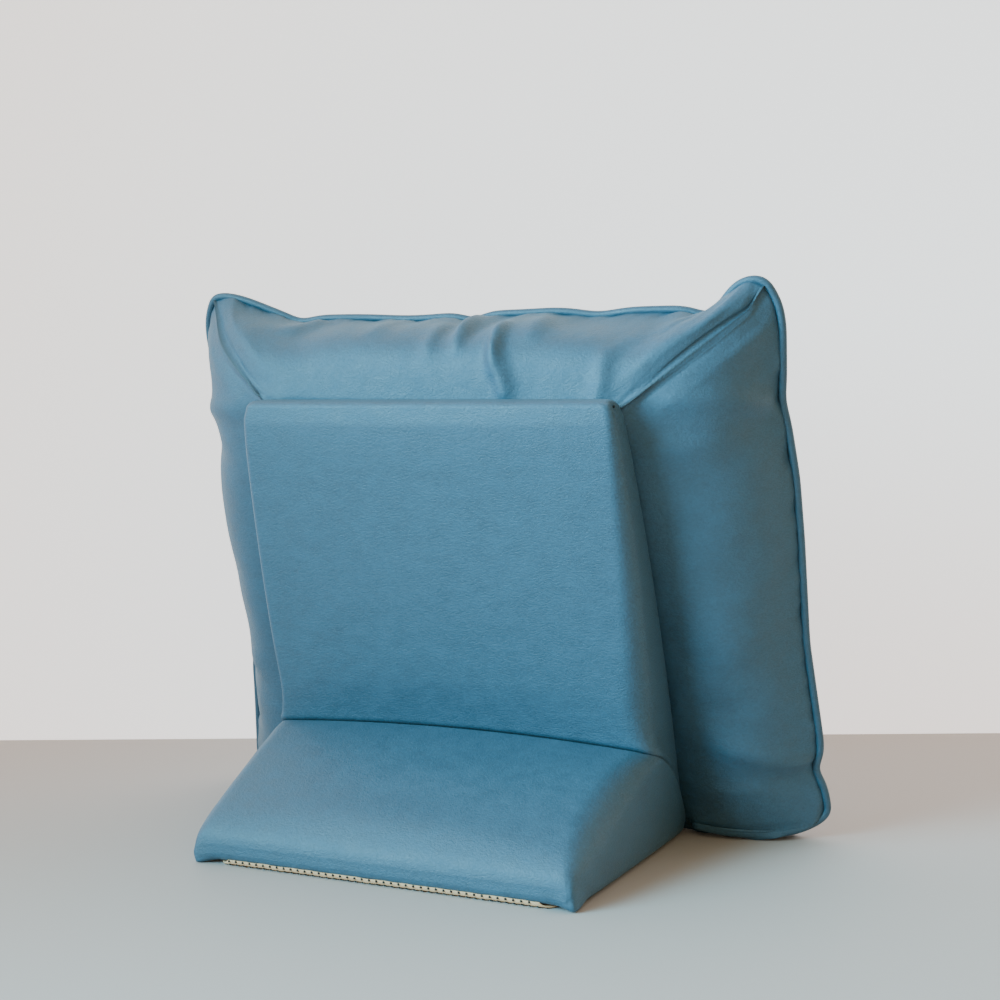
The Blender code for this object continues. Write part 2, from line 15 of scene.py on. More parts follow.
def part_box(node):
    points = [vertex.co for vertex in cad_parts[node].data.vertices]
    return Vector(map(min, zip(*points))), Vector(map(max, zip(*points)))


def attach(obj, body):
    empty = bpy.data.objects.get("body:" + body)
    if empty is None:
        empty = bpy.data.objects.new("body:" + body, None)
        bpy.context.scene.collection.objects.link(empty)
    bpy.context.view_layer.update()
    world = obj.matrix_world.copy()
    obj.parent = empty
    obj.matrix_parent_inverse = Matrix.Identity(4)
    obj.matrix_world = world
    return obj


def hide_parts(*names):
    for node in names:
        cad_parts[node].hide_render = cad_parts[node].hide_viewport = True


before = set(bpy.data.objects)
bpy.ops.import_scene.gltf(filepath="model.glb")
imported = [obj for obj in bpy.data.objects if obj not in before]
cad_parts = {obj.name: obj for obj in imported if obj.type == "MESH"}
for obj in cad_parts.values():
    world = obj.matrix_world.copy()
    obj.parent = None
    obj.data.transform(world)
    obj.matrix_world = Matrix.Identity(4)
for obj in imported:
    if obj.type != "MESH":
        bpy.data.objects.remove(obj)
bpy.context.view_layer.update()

# The stand, as in the solids
FOOT_LENGTH = 0.288  # front edge of the foot to the foot of the upright's back
FOOT_SKEW = -0.0030  # the foot's front sits a little to the left
STAND_HALF = 0.191  # half width at the front edge and at the top
CREASE_HALF = 0.207  # half width at the crease, where the padding swells
CREASE_BACK = -0.123  # Y of the crease between foot and upright
CREASE_HEIGHT = 0.104
CREASE_RISE = 0.009  # how far the crease bows up in the middle
UPRIGHT_TOP = 0.436
UPRIGHT_LEAN = -0.171  # Y of the upright's back at its top
UPRIGHT_THICK = 0.034  # thickness at the top
HEEL_HALF = 0.197  # half width where the seam between the pads ends
HEEL_HEIGHT = 0.026
SEAM_BOW = 0.014  # how far that seam bows out on the stand's sides
# Rounding of a section's corners: left showing, right showing, hidden
UPRIGHT_EDGES = (0.0060, 0.0060, 0.012)
FOOT_EDGES = (0.017, 0.028, 0.005)
SEAM_EDGES = (0.007, 0.022, 0.004)
# The upright's right edge grows softer towards the crease: share of the height, radius
RIGHT_EDGE = ((0.0, 0.022), (0.10, 0.023), (0.50, 0.016), (0.85, 0.010), (0.97, 0.006))
SEAM_SPREAD = 0.75
SIDE_SWELL = 0.35  # swell of a section's sides, as a share of its front's
RADIUS_MOST = 0.42  # of a section's depth
EDGE_CROWDING = 1.5  # how much closer a section's points lie at its corners
SWELL_FADE = 3  # how fast the swell and the rise die out towards the hidden side
RISE_FADE = 2
SEAM_BLEND = 0.06  # share of the upright's height over which its edges take their own rounding
BELLY_SHAPE = (0.7, 0.6)
UPRIGHT_STEPS = (0.04, 0.95, 46)
TOP_STEPS = (0.12, 0.96, 9)
TOP_SWELL = 0.7
TOP_ROUND = 0.009  # rounding of the upright's top
TOP_SLOPE = 0.004  # how far the upright's top falls from back to front
TOP_EASE = 0.0035  # how far its face curves back below the top
TOP_EASE_FROM = 0.82
UPRIGHT_BELLY = 0.009  # how far the upright's sides bulge between crease and top
BACK_LEAD = 0.28  # how much faster the sections rise at the upright's back, low down
SEAM_FADE = 0.40  # share of the upright's height over which the seam's bow fades
CREASE_FADE = 0.15  # the same for the crease's extra width
CREASE_DIP = -0.001  # how far the face is drawn in along the crease
FACE_SWELL = 0.005  # how far a padded face stands proud in its middle
FOOT_DROOP = 0.006  # how far the foot's two lower front corners sag beside the grip sheet
FOOT_DROOP_REACH = 0.026
FOOT_DROOP_DEEP = 0.034
FOOT_DROOP_LEFT = 1.3  # how much more the left corner sags
FOOT_TIP_IN = 0.0040  # how far the left corner is rounded off at the floor
FOOT_TIP_HEIGHT = 0.012
DROOP_OUT = 0.5  # how much the sagging corners also spread, to the side and to the front
DROOP_FORWARD = 0.4
FOOT_SEAM_FROM = 0.6  # share of the foot's length behind which its sections take the seam's bow
FOOT_SWELL_TO = 0.2
FOOT_BETWEEN = 4  # rows drawn for each row of the table
FOOT_LAST = (0.25, 0.5, 0.75, 1.0)  # sections between the table's last row and the seam
CREASE_LAP = 0.0027  # from the table's last row to the crease
# Sections of the foot, from its front edge to the crease: Y and height of the section's upper end,
# Y and height above the grip sheet of its lower end, half width at its upper and at its lower end
FOOT_SECTIONS = (
    (-0.2880, 0.0200, -0.2880, 0.0085, 0.1870, 0.1890),
    (-0.2865, 0.0265, -0.2868, 0.0045, 0.1905, 0.1925),
    (-0.2830, 0.0330, -0.2840, 0.0018, 0.1925, 0.1940),
    (-0.2770, 0.0395, -0.2790, 0.0004, 0.1935, 0.1945),
    (-0.2680, 0.0465, -0.2690, 0.0000, 0.1940, 0.1950),
    (-0.2530, 0.0550, -0.2500, 0.0000, 0.1945, 0.1955),
    (-0.2300, 0.0670, -0.2200, 0.0000, 0.1955, 0.1960),
    (-0.2050, 0.0795, -0.1780, 0.0000, 0.1965, 0.1965),
    (-0.1800, 0.0905, -0.1300, 0.0000, 0.1985, 0.1970),
    (-0.1600, 0.0975, -0.0820, 0.0000, 0.2005, 0.1970),
    (-0.1460, 0.1015, -0.0450, 0.0000, 0.2030, 0.1970),
    (-0.1355, 0.1034, -0.0200, 0.0000, 0.2050, 0.1965),
    (-0.1290, 0.1042, -0.0085, 0.0020, 0.2060, 0.1960),
    (-0.1257, 0.1042, -0.0068, 0.0100, 0.2065, 0.1965),
)

# The cushion, as in the solids
TOP_HEIGHT = 0.516  # the piping between the ears
EAR_HEIGHT = 0.5375
EAR_LEFT = 0.295  # half widths at the ears
EAR_RIGHT = 0.302
CORNER_HEIGHT = 0.026  # the piping's lower corners
CORNER_HALF = 0.332
CORNER_BACK = 0.031
SIDE_BLEND = 0.10
PIPING_LEAN = -0.2475  # Y gained by the piping for each metre of height
PIPING_RADIUS = 0.0045
CORD_SHOWN = 0.0039  # radius of the cord as it shows, pulled into its seam
CORD_SHIFT = 0.0004  # how far the cord is pushed outwards
SEAM_IN = 0.0026  # the covers meet this far inside the cord's centre line
CROWN = 0.082  # how far the sitting face stands proud of the piping
FACE_HALF = 0.328
FACE_TAPER = 0.030
FACE_MIDDLE = 0.262
FACE_REACH = 0.259
FACE_POWER = 2.6
FACE_EASE = 0.60
FACE_CALM = 0.05
FLOOR_TURN = 0.5
FLOOR_SAG = 0.045  # how far the fill would sink if the floor were not there
FLOOR_SAG_HEIGHT = 0.06
FLOOR_CLEAR = 0.0004
PANEL_BOTTOM = 0.020
PANEL_CORNERS = {"left": (0.190, 0.437), "right": (0.187, 0.425)}  # half width, height
CORNER_SOFTNESS = 0.0085
RING_SPACING = 1.15
SWELL_POWER = 0.55
SWELL_SHAPE = (0.8, 0.6)
FACE_SPACING = 1.5
FACE_FOLLOW = 6  # how fast the sitting face forgets the dips of its edge
FOLD_EASE = 0.05
BOTTOM_BLEND = 0.17
DIP_CALM = 0.018  # reach over which the piping's dips are evened out further down the borders
DIP_FADE = 3.0
EAR_PULL = 0.5  # how much the borders' swell follows the piping's direction
GAP = 0.0003
GRIP_THICK = 0.0026
GRIP_INSET = (0.020, 0.005, 0.018)  # grip sheet, in from the foot's sides, front and heel
GRIP_CLIP = 0.012
GRIP_CLOTH = 0.0012  # thickness of the cloth that shows
GRIP_LIFT = 0.0008  # the cloth lies on its dots
GRIP_ACROSS = 60
# The cloth's outer side where it turns up against the foot's front: Y, height
GRIP_TURN = ((-0.2720, 0.0008), (-0.2790, 0.0008), (-0.2834, 0.0012), (-0.2862, 0.0028), (-0.2872, 0.0060))
DOT_SPACING = 0.0075
DOT_RADIUS = 0.0013
DOT_HEIGHT = 0.0010
DOT_TAPER = 0.55
DOT_SIDES = 8
GRIP_WAVE = (0.00025, 0.03, 12)  # depth, length and seed of the cloth's waves along its turned-up edge
GRIP_STEPS = 10
GRIP_BETWEEN = 3
DOT_EDGE = 0.0010  # from the cloth's front edge to the first row of dots

# Places where the piping is drawn in. Top edge: across, depth, spread
TOP_DIPS = (
    (-0.191, 0.0045, 0.013),
    (-0.060, 0.0030, 0.045),
    (0.006, 0.0070, 0.012),
    (0.090, -0.0010, 0.022),
    (0.138, 0.0040, 0.020),
    (0.247, 0.0085, 0.014),
)
# Rise of the top edge towards each ear: start across, end across, lift
EAR_RAMPS = ((-0.185, -0.284, 0.0255), (0.243, 0.286, 0.0255))
# Side edges: height, half width
SIDE_WIDTHS = (
    (0.026, 0.3300), (0.050, 0.3275), (0.105, 0.3255), (0.200, 0.3180), (0.300, 0.3190),
    (0.360, 0.3180), (0.437, 0.3105), (0.500, 0.3140), (0.518, 0.3120), (0.530, 0.3065), (0.5375, 0.3020),
)
# Side edges, places drawn in: height, depth, spread
RIGHT_KINKS = ((0.071, 0.0085, 0.011), (0.430, 0.0020, 0.012))
LEFT_KINKS = ((0.158, 0.0060, 0.012), (0.425, 0.0040, 0.012))
# Bottom edge: half across, Y, height
BOTTOM_EDGE = (
    (0.000, 0.0140, 0.0052), (0.190, 0.0085, 0.0052), (0.235, 0.0010, 0.0052), (0.272, 0.0005, 0.0055),
    (0.292, 0.0050, 0.0075), (0.306, 0.0150, 0.0105), (0.318, 0.0270, 0.0150), (0.332, 0.0310, 0.0260),
)
# Swell of the borders, along the loop: side, swell at its start, middle and end
BORDER_SWELL = {
    "top": (0.010, 0.030, 0.011),
    "right": (0.010, 0.030, 0.018),
    "bottom": (0.018, 0.000, 0.018),
    "left": (0.036, 0.036, 0.011),
}
# Folds of the top border: across, start and end between piping (0) and panel (1), depth, spread, slant
TOP_FOLDS = (
    (-0.172, 0.00, 0.35, 0.0045, 0.014, -0.060),
    (-0.075, 0.05, 0.45, 0.0030, 0.013, -0.020),
    (-0.010, 0.20, 0.70, 0.0045, 0.010, 0.004),
    (0.018, 0.02, 0.62, 0.0080, 0.008, 0.010),
    (0.036, 0.00, 0.60, -0.0045, 0.011, -0.034),
    (0.060, 0.28, 0.78, 0.0080, 0.007, 0.008),
    (0.070, 0.60, 1.00, 0.0060, 0.009, 0.040),
    (0.093, 0.10, 0.50, 0.0035, 0.011, 0.000),
    (0.168, 0.55, 1.00, 0.0038, 0.009, -0.010),
    (0.194, 0.10, 0.45, 0.0016, 0.014, 0.020),
    (0.223, 0.00, 0.36, 0.0032, 0.014, -0.010),
)
# Folds of the side borders: height, start, end, depth, spread, slant
RIGHT_FOLDS = (
    (0.432, 0.00, 0.80, 0.0050, 0.011, 0.010),
    (0.392, 0.30, 0.95, 0.0022, 0.012, -0.030),
    (0.300, 0.10, 0.90, -0.0020, 0.060, 0.060),
    (0.200, 0.20, 0.80, 0.0020, 0.030, 0.050),
    (0.088, 0.00, 0.70, 0.0050, 0.013, 0.030),
    (0.052, 0.20, 0.90, 0.0025, 0.010, -0.010),
)
LEFT_FOLDS = ((0.425, 0.00, 0.80, 0.0050, 0.012, 0.000), (0.150, 0.00, 0.60, 0.0025, 0.014, 0.020))

# Steps of the grid that is filled, before it is doubled
ACROSS_STEPS = 168
UP_STEPS = 112
BORDER_RINGS = 17
FACE_RINGS = 14
PANEL_SHARES = (0.15, 0.45, 0.75, 0.93)
CORNER_CROWDING = 0.70  # how much closer the steps lie at the corners
EDGE_SAMPLES = 600
PIPING_SIDES = 16
PAD_ACROSS = 64
CREASE_STEPS = (0.002, 0.005, 0.009, 0.014, 0.020, 0.029)  # shares of the upright's height
PAD_DEEP = 22

# The filling of the cushion
AIR_PRESSURE = 2.2
SLACK = -0.018  # the cover is cut this much larger than its drawn shape
FILL_FRAMES = 16
MOST_MOVE = 0.0050
SEAM_CALM = 0.030  # the fill's unevenness dies out within this reach of the mitres
SMOOTHING_PASSES = 5
CLOTH_QUALITY = 7
CLOTH_MASS = 0.30
CLOTH_STIFFNESS = 20.0
CLOTH_SHEAR = 8.0
CLOTH_BENDING = 0.6

# Uneven waves: how many are added, their lengths as shares of the whole one's, and the level
WAVE_COUNT = 6
WAVE_LENGTHS = (0.55, 1.8)
WAVE_LEVEL = 3.0

# Fine relief of the covers
FOLDS_IN = 0.012  # folds begin this far from the piping and end this far from the panel
FOLDS_OUT = 0.006
GROOVE_DEEP = 0.0034  # seams of the upper mitres
GROOVE_HALF = 0.0011
GROOVE_LOW = 0.10  # they fade out below this height
ROLL_HIGH = 0.0007  # the rolls beside them
ROLL_AWAY = 0.0060
ROLL_HALF = 0.0035
MITRE_ENDS = 0.004
SEAM_SHADE = 0.0015  # half width of the painted shade along a seam
# Strength and colour of the shade painted along the seams, where the covers sink in
SEAM_SHADE_STRENGTH = 0.85
SEAM_SHADE_COLOUR = (0.006, 0.014, 0.020)
# Bends of the upper mitres: corner of the loop, how far along it, share of the way down where it is most
MITRE_BOWS = ((0, -0.0060, 0.45), (1, 0.0085, 0.17))
MITRE_BOW_REACH = 0.045
PUCKER_DEEP = 0.0007  # short folds along the piping
PUCKER_REACH = 0.012
PUCKER_IN = 0.003
PUCKER_SLANT = 0.15
PUCKER_WAVES = ((0.018, 3), (0.007, 4))  # length, seed
PUCKER_FINE = 0.4
RIPPLE_DEEP = 0.00018
RIPPLE_SLANT = 0.4
RIPPLE_WAVES = ((0.030, 5), (0.022, 6))
RELIEF_CALM = 0.012  # puckers and ripples die out within this reach of the mitres
LIP_HIGH = 0.0020  # the cover puffs up over the piping by this much, unevenly
LIP_REACH = 0.005
LIP_UNEVEN = 0.8
LIP_WAVE = (0.045, 9)
CORD_WAVES = ((0.035, 0.025, 7), (0.02, 0.009, 8))  # unevenness of the cord: share, length, seed
# The belly of the borders' low ends beside the stand: across, height, how far it moves
BELLY_FROM = 0.190
BELLY_FADE = 0.014
BELLY_HEIGHT = 0.014
BELLY_SPREAD = 0.022
BELLY_EASE = 0.008
BELLY_MOVE = (0.0, -0.0050, -0.0055)
STITCH_SPOT = (0.1905, -0.1880, 0.4283)  # the stitch that gathers the upright's corner
STITCH_DEEP = 0.0020
STITCH_REACH = 0.0045
STITCH_THICK = 0.0014
TUCK_SPOT = (0.1885, -0.2875, 0.0100)  # a small tuck at the foot's right front corner
TUCK_DEEP = 0.0016
TUCK_REACH = 0.0035
CREASE_DRAW = 0.0017  # how far the pads' covers are drawn in along the seam between them
CREASE_DRAW_HALF = 0.0015
CREASE_UNEVEN = (0.25, 0.022, 11)  # share, length, seed
CREASE_ROLL = (0.2, 3.2, 1.5)  # the roll beside it: height, distance and half width as shares

# The camera, in the drawing frame
CAMERA_PLACE = (0.728, -1.574, 0.453)
CAMERA_AZIMUTH = radians(25.1)
CAMERA_DIP = radians(4.12)
CAMERA_ROLL = radians(0.41)
CAMERA_LENS = 60.37
SENSOR = 36.0

# The covers' grain; a noise is given by its scale, detail, roughness and distortion
GRAIN_STRETCH = (0.75, 0.9, 1.3)
DRIFT_NOISE = (45.0, 2.0, 0.5, 0.0)
DRIFT_REACH = (0.006, 0.006, 0.006)
CREASE_NOISE = (430.0, 3.0, 0.60, 0.3)
CREASE_RANGE = (0.36, 0.62)
CREASE_SHARE = 0.7
PEBBLE_SCALE = 620.0
PEBBLE_RANGE = (0.0, 0.22)
PEBBLE_SHARE = 0.3
GRAIN_STRENGTH = 0.8
# Their colour: light and dark tone, roughness, height of the grain
COVER_FINISH = ((0.038, 0.116, 0.186), (0.020, 0.063, 0.104), 0.57, 0.0003)
CORD_FINISH = ((0.032, 0.098, 0.157), (0.017, 0.056, 0.094), 0.56, 0.0002)
CLOUD_STRETCH = (0.8, 0.9, 1.3)
CLOUD_NOISE = (62.0, 4.0, 0.72, 0.3)
CLOUD_RANGE = (0.34, 0.66)
SPECK_NOISE = (560.0, 2.0, 0.7, 0.0)
SPECK_RANGE = (0.25, 0.75)
TONE_SHARES = (0.40, 0.28, 0.32)  # clouds, specks, creases
MATT_LESS = 0.05
MATT_MORE = 0.06
GLOSS = 1.0
GLOSS_TINT = (0.78, 0.95, 1.0)
SHEEN = 0.048
SHEEN_ROUGH = 0.50
SHEEN_TINT = (0.75, 0.90, 0.90)
MIX_FIRST = 6  # sockets of a colour mix that share their names with others
MIX_SECOND = 7
MIX_RESULT = 2
WEAVE_SCALE = 1200.0
TAN_LIGHT = (0.92, 0.56, 0.32)
TAN_DARK = (0.76, 0.44, 0.25)
TAN_ROUGH = 0.85
# Colour and roughness
THREAD = ((0.010, 0.022, 0.026), 0.8)
RUBBER = ((0.012, 0.012, 0.012), 0.55)

# The studio: floor, backdrop and light
STUDIO_SIZE = 8.0
STUDIO_MATT = 0.7
BACKDROP_AWAY = 2.20  # from the camera
BACKDROP_MIDDLE = 3.9
FLOOR_GREY = (0.52, 0.455, 0.43)
BACKDROP_GREY = (0.90, 0.85, 0.85)
BACKDROP_GLOW = 1.35
WORLD_COLOUR = (1.25, 1.08, 0.70)
WORLD_STRENGTH = 0.526
WORLD_SEEN = (0.84, 0.84, 0.82)  # what the camera sees of it beyond floor and backdrop
LIGHT_AZIMUTH = -28.0  # degrees, from straight in front of the stand
LIGHT_HEIGHT = 1.10
LIGHT_AWAY = 1.90
LIGHT_SIZE = 1.25
LIGHT_POWER = 40.0
LIGHT_COLOUR = (0.30, 0.76, 1.0)
LIGHT_AIM = (0.72, -0.50, 0.50)
LIGHT_SPREAD = 80.0  # degrees


def unit(vectors):
    return vectors / np.maximum(np.linalg.norm(vectors, axis=-1, keepdims=True), 1e-12)


def smoothstep(values):
    t = np.clip(values, 0.0, 1.0)
    return t * t * (3.0 - 2.0 * t)


def bump(values, centre, spread):
    return np.exp(-((values - centre) / spread) ** 2)


def column(rows, index):
    return [row[index] for row in rows]


def waves(values, length, seed):
    """An uneven wave of about this length, mostly between -1 and 1."""
    draw = np.random.default_rng(seed)
    total = np.zeros_like(values)
    for _ in range(WAVE_COUNT):
        total += np.sin(2 * pi * values / (length * draw.uniform(*WAVE_LENGTHS)) + draw.uniform(0, 2 * pi))
    return total / WAVE_LEVEL


def run_length(points):
    """Distance of each point from the first, along the first axis."""
    step = np.linalg.norm(np.diff(points, axis=0), axis=-1)
    return np.concatenate([np.zeros_like(step[:1]), np.cumsum(step, axis=0)])


def neighbours(rows):
    """The rows before, after and two after each row; they go on straight past both ends."""
    before = np.concatenate([2 * rows[:1] - rows[1:2], rows[:-1]])
    after = np.concatenate([rows[1:], 2 * rows[-1:] - rows[-2:-1]])
    later = np.concatenate([after[1:], 2 * after[-1:] - after[-2:-1]])
    return before, after, later


def ring_run(grid):
    """Distance of each point along its closed ring, and each ring's whole length."""
    step = np.linalg.norm(np.roll(grid, -1, axis=1) - grid, axis=2)
    along = np.concatenate([np.zeros((len(grid), 1)), np.cumsum(step, axis=1)], axis=1)[:, :-1]
    return along, step.sum(axis=1, keepdims=True)


def from_columns(grid, columns):
    """Distance along each ring from the nearest of these columns, the shorter way round."""
    along, whole = ring_run(grid)
    away = [abs(along - along[:, column:column + 1]) for column in columns]
    return np.min([np.minimum(distance, whole - distance) for distance in away], axis=0)


def new_object(name, data):
    made = bpy.data.objects.new(name, data)
    bpy.context.scene.collection.objects.link(made)
    return made


def frame_step():
    """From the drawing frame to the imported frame."""
    side, front, _ = GRIP_INSET
    low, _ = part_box("grip_sheet")
    return np.array([low[0] + STAND_HALF - side, low[1] + FOOT_LENGTH - front, low[2]])


STEP = frame_step()


# The cushion's edges

def piping_back(height):
    """Y of the leaning piping at a height."""
    return CORNER_BACK + (height - CORNER_HEIGHT) * PIPING_LEAN


def panel_back(height):
    """Y of the cushion's back panel, which lies on the upright."""
    return UPRIGHT_LEAN / UPRIGHT_TOP * height + GAP


def top_edge():
    across = np.linspace(-EAR_LEFT, EAR_RIGHT, EDGE_SAMPLES, endpoint=False)
    height = np.full(EDGE_SAMPLES, TOP_HEIGHT)
    for start, end, lift in EAR_RAMPS:
        height = height + lift * smoothstep((across - start) / (end - start))
    for centre, depth, spread in TOP_DIPS:
        height = height - depth * bump(across, centre, spread)
    return np.stack([across, piping_back(height), height], axis=1)


def side_edge(sign, kinks):
    """One side, from the ear down to the lower corner."""
    height = np.linspace(EAR_HEIGHT, CORNER_HEIGHT, EDGE_SAMPLES, endpoint=False)
    half = np.interp(height, column(SIDE_WIDTHS, 0), column(SIDE_WIDTHS, 1))
    if sign < 0:
        half = half - (EAR_RIGHT - EAR_LEFT) * smoothstep((height - CORNER_HEIGHT) / SIDE_BLEND)
    for centre, depth, spread in kinks:
        half = half - depth * bump(height, centre, spread)
    return np.stack([sign * half, piping_back(height), height], axis=1)


def bottom_edge():
    across = np.linspace(CORNER_HALF, -CORNER_HALF, EDGE_SAMPLES, endpoint=False)
    back = np.interp(abs(across), column(BOTTOM_EDGE, 0), column(BOTTOM_EDGE, 1))
    height = np.interp(abs(across), column(BOTTOM_EDGE, 0), column(BOTTOM_EDGE, 2))
    return np.stack([across, back, height], axis=1)


def soften(loop, reach):
    """Round a closed loop of points by averaging each with its neighbours within about reach."""
    step = np.linalg.norm(np.roll(loop, -1, axis=0) - loop, axis=1).mean()
    span = int(3 * reach / step)
    weights = bump(np.arange(-span, span + 1) * step, 0.0, reach * 2 ** 0.5)
    turned = [np.roll(loop, shift, axis=0) for shift in range(-span, span + 1)]
    return np.tensordot(weights / weights.sum(), np.array(turned), axes=1)


def points_at(points, shares):
    """Points at these shares of the way along an open run."""
    along = run_length(points)
    wanted = np.asarray(shares) * along[-1]
    return np.stack([np.interp(wanted, along, points[:, axis]) for axis in range(3)], axis=1)


def side_steps(count):
    """Shares along one side, closer together towards its corners."""
    share = np.arange(count) / count
    return share - CORNER_CROWDING * np.sin(2 * pi * share) / (2 * pi)


def side_counts():
    return (ACROSS_STEPS, UP_STEPS, ACROSS_STEPS, UP_STEPS)


def side_share():
    """For each column of the grid, its side's number and its share of the way along that side."""
    number = np.concatenate([np.full(count, side) for side, count in enumerate(side_counts())])
    share = np.concatenate([side_steps(count) for count in side_counts()])
    return number, share


def edge_loop():
    """The piping's centre line, finely sampled, side by side."""
    left = side_edge(-1, LEFT_KINKS)
    left = np.concatenate([left[1:], bottom_edge()[:1] * (-1, 1, 1)])[::-1]
    sides = [top_edge(), side_edge(1, RIGHT_KINKS), bottom_edge(), left]
    even = np.arange(EDGE_SAMPLES) / EDGE_SAMPLES
    loop = np.concatenate([points_at(np.concatenate([side, after[:1]]), even)
                           for side, after in zip(sides, sides[1:] + sides[:1])])
    return soften(loop, CORNER_SOFTNESS)


def piping_loop():
    """The piping's centre line with a point for each column of the grid."""
    loop = edge_loop()
    closed = np.concatenate([loop, loop[:1]])
    return np.concatenate([points_at(closed[side * EDGE_SAMPLES:(side + 1) * EDGE_SAMPLES + 1],
                                     side_steps(count))
                           for side, count in enumerate(side_counts())])


def panel_loop():
    """Edge of the back panel, point for point beside the piping loop."""
    left_half, left_top = PANEL_CORNERS["left"]
    right_half, right_top = PANEL_CORNERS["right"]
    corners = np.array([(-left_half, left_top), (right_half, right_top),
                        (right_half, PANEL_BOTTOM), (-left_half, PANEL_BOTTOM)])
    number, share = side_share()
    flat = corners[number] + (np.roll(corners, -1, axis=0) - corners)[number] * share[:, None]
    return np.stack([flat[:, 0], panel_back(flat[:, 1]), flat[:, 1]], axis=1)


def tangents(loop):
    return unit(np.roll(loop, -1, axis=0) - np.roll(loop, 1, axis=0))


def sitting_direction():
    return unit(np.array([0.0, 1.0, -PIPING_LEAN]))


def outward(loop):
    """Away from the cushion in the piping's plane, turned a little back along the floor."""
    away = unit(np.cross(tangents(loop), sitting_direction()))
    low = FLOOR_TURN * (1.0 - smoothstep(loop[:, 2:] / CORNER_HEIGHT))
    return unit(away - sitting_direction() * low)


# The cushion's cover

def fold_depth(rows, along, share):
    """Depth of the folds at a place along a border and a share of the way from piping to panel."""
    depth = np.zeros_like(along)
    for centre, start, end, deep, spread, slant in rows:
        middle = (start + end) / 2
        window = np.clip(1.0 - (abs(share - middle) / ((end - start) / 2 + FOLD_EASE)) ** 2, 0.0, 1.0)
        depth = depth + deep * window * bump(along, centre + slant * (share - middle), spread)
    return depth


def border_swell():
    number, share = side_share()
    rows = [BORDER_SWELL[side] for side in ("top", "right", "bottom", "left")]
    start, middle, end = (np.array([row[index] for row in rows])[number] for index in range(3))
    ends = np.where(share < 0.5, start, end)
    blend = np.sin(pi * share) ** SWELL_POWER
    blend[number == 2] = smoothstep(np.minimum(share, 1.0 - share) / BOTTOM_BLEND)[number == 2]
    return ends + (middle - ends) * blend


def border_share(ring):
    """Share of the way from piping to panel of a ring, which may lie between two."""
    return (ring / BORDER_RINGS) ** RING_SPACING


def corner_columns(share):
    return np.flatnonzero(share == 0.0)


def eased(seam):
    """The piping seam without its short dips; it keeps its corners."""
    along, whole = (rows[0] for rows in ring_run(seam[None]))
    nearest = from_columns(seam[None], corner_columns(side_share()[1]))[0]
    even = np.linspace(0.0, whole[0], EDGE_SAMPLES * 4, endpoint=False)
    closed = np.concatenate([seam, seam[:1]])
    places = np.append(along, whole)
    fine = np.stack([np.interp(even, places, closed[:, axis]) for axis in range(3)], axis=1)
    fine = soften(fine, DIP_CALM)
    smooth = np.stack([np.interp(along, even, fine[:, axis]) for axis in range(3)], axis=1)
    return seam + (smooth - seam) * smoothstep((nearest - DIP_CALM) / (2 * DIP_CALM))[:, None]


def border_rings(seam, panel):
    """Rings from the piping seam to the edge of the back panel, swollen."""
    swell = border_swell()[:, None]
    calm = eased(seam)
    normal = unit(np.cross(panel - calm, unit(EAR_PULL * tangents(calm) + tangents(panel))))
    rings = []
    for ring in range(BORDER_RINGS + 1):
        share = border_share(ring)
        start = calm + (seam - calm) * (1.0 - share) ** DIP_FADE
        points = start + (panel - start) * share
        power = SWELL_SHAPE[0] + SWELL_SHAPE[1] * share
        edge = sin(pi * share) ** power if 0 < ring < BORDER_RINGS else 0.0
        points = points + normal * swell * edge
        rings.append(keep_clear(points))
    return rings


def keep_clear(points):
    """Hold cover points above the floor and off the stand."""
    points[:, 2] = np.maximum(points[:, 2], FLOOR_CLEAR)
    beyond = np.maximum(abs(points[:, 0]) - STAND_HALF - UPRIGHT_BELLY, points[:, 2] - UPRIGHT_TOP) - GAP
    points[:, 1] = np.maximum(points[:, 1], panel_back(points[:, 2]) - 2.0 * np.maximum(beyond, 0.0))
    return points


def face_crown(points):
    """How far the filled sitting face stands proud of the piping's plane; the ears stay flat."""
    height = points[:, 2]
    across = abs(points[:, 0]) / (FACE_HALF - FACE_TAPER * height)
    up = abs(height - FACE_MIDDLE) / FACE_REACH
    room = [np.clip(1.0 - share ** FACE_POWER, 0.0, 1.0) for share in (across, up)]
    return (CROWN * (room[0] * room[1]) ** FACE_EASE)[:, None]


def face_rings(seam):
    """Rings of the crowned sitting face, from the seam inwards, flat where they meet the floor."""
    calm = soften(seam, FACE_CALM)
    calm[:, 1] = piping_back(calm[:, 2])
    centre = calm.mean(axis=0)
    rings = []
    for ring in range(1, FACE_RINGS + 1):
        scale = 1.0 - (ring / (FACE_RINGS + 1)) ** FACE_SPACING
        loop = calm + (seam - calm) * scale ** FACE_FOLLOW
        points = centre + (loop - centre) * scale
        sag = FLOOR_SAG * bump(points[:, 2], 0.0, FLOOR_SAG_HEIGHT)
        sag = sag * smoothstep((CORNER_HALF - abs(points[:, 0])) / FLOOR_SAG_HEIGHT)
        points = points + sitting_direction() * face_crown(points)
        points[:, 2] = np.maximum(points[:, 2] - sag, FLOOR_CLEAR)
        rings.append(points)
    return rings


def panel_rings(panel):
    centre = panel.mean(axis=0)
    return [centre + (panel - centre) * share for share in PANEL_SHARES]


def skin_rings(rings, faces, first=0):
    """Quads between neighbouring closed rings of equal length."""
    count = len(rings[0])
    for ring in range(len(rings) - 1):
        for spot in range(count):
            after = (spot + 1) % count
            low = first + ring * count
            high = low + count
            faces.append((low + spot, low + after, high + after, high + spot))


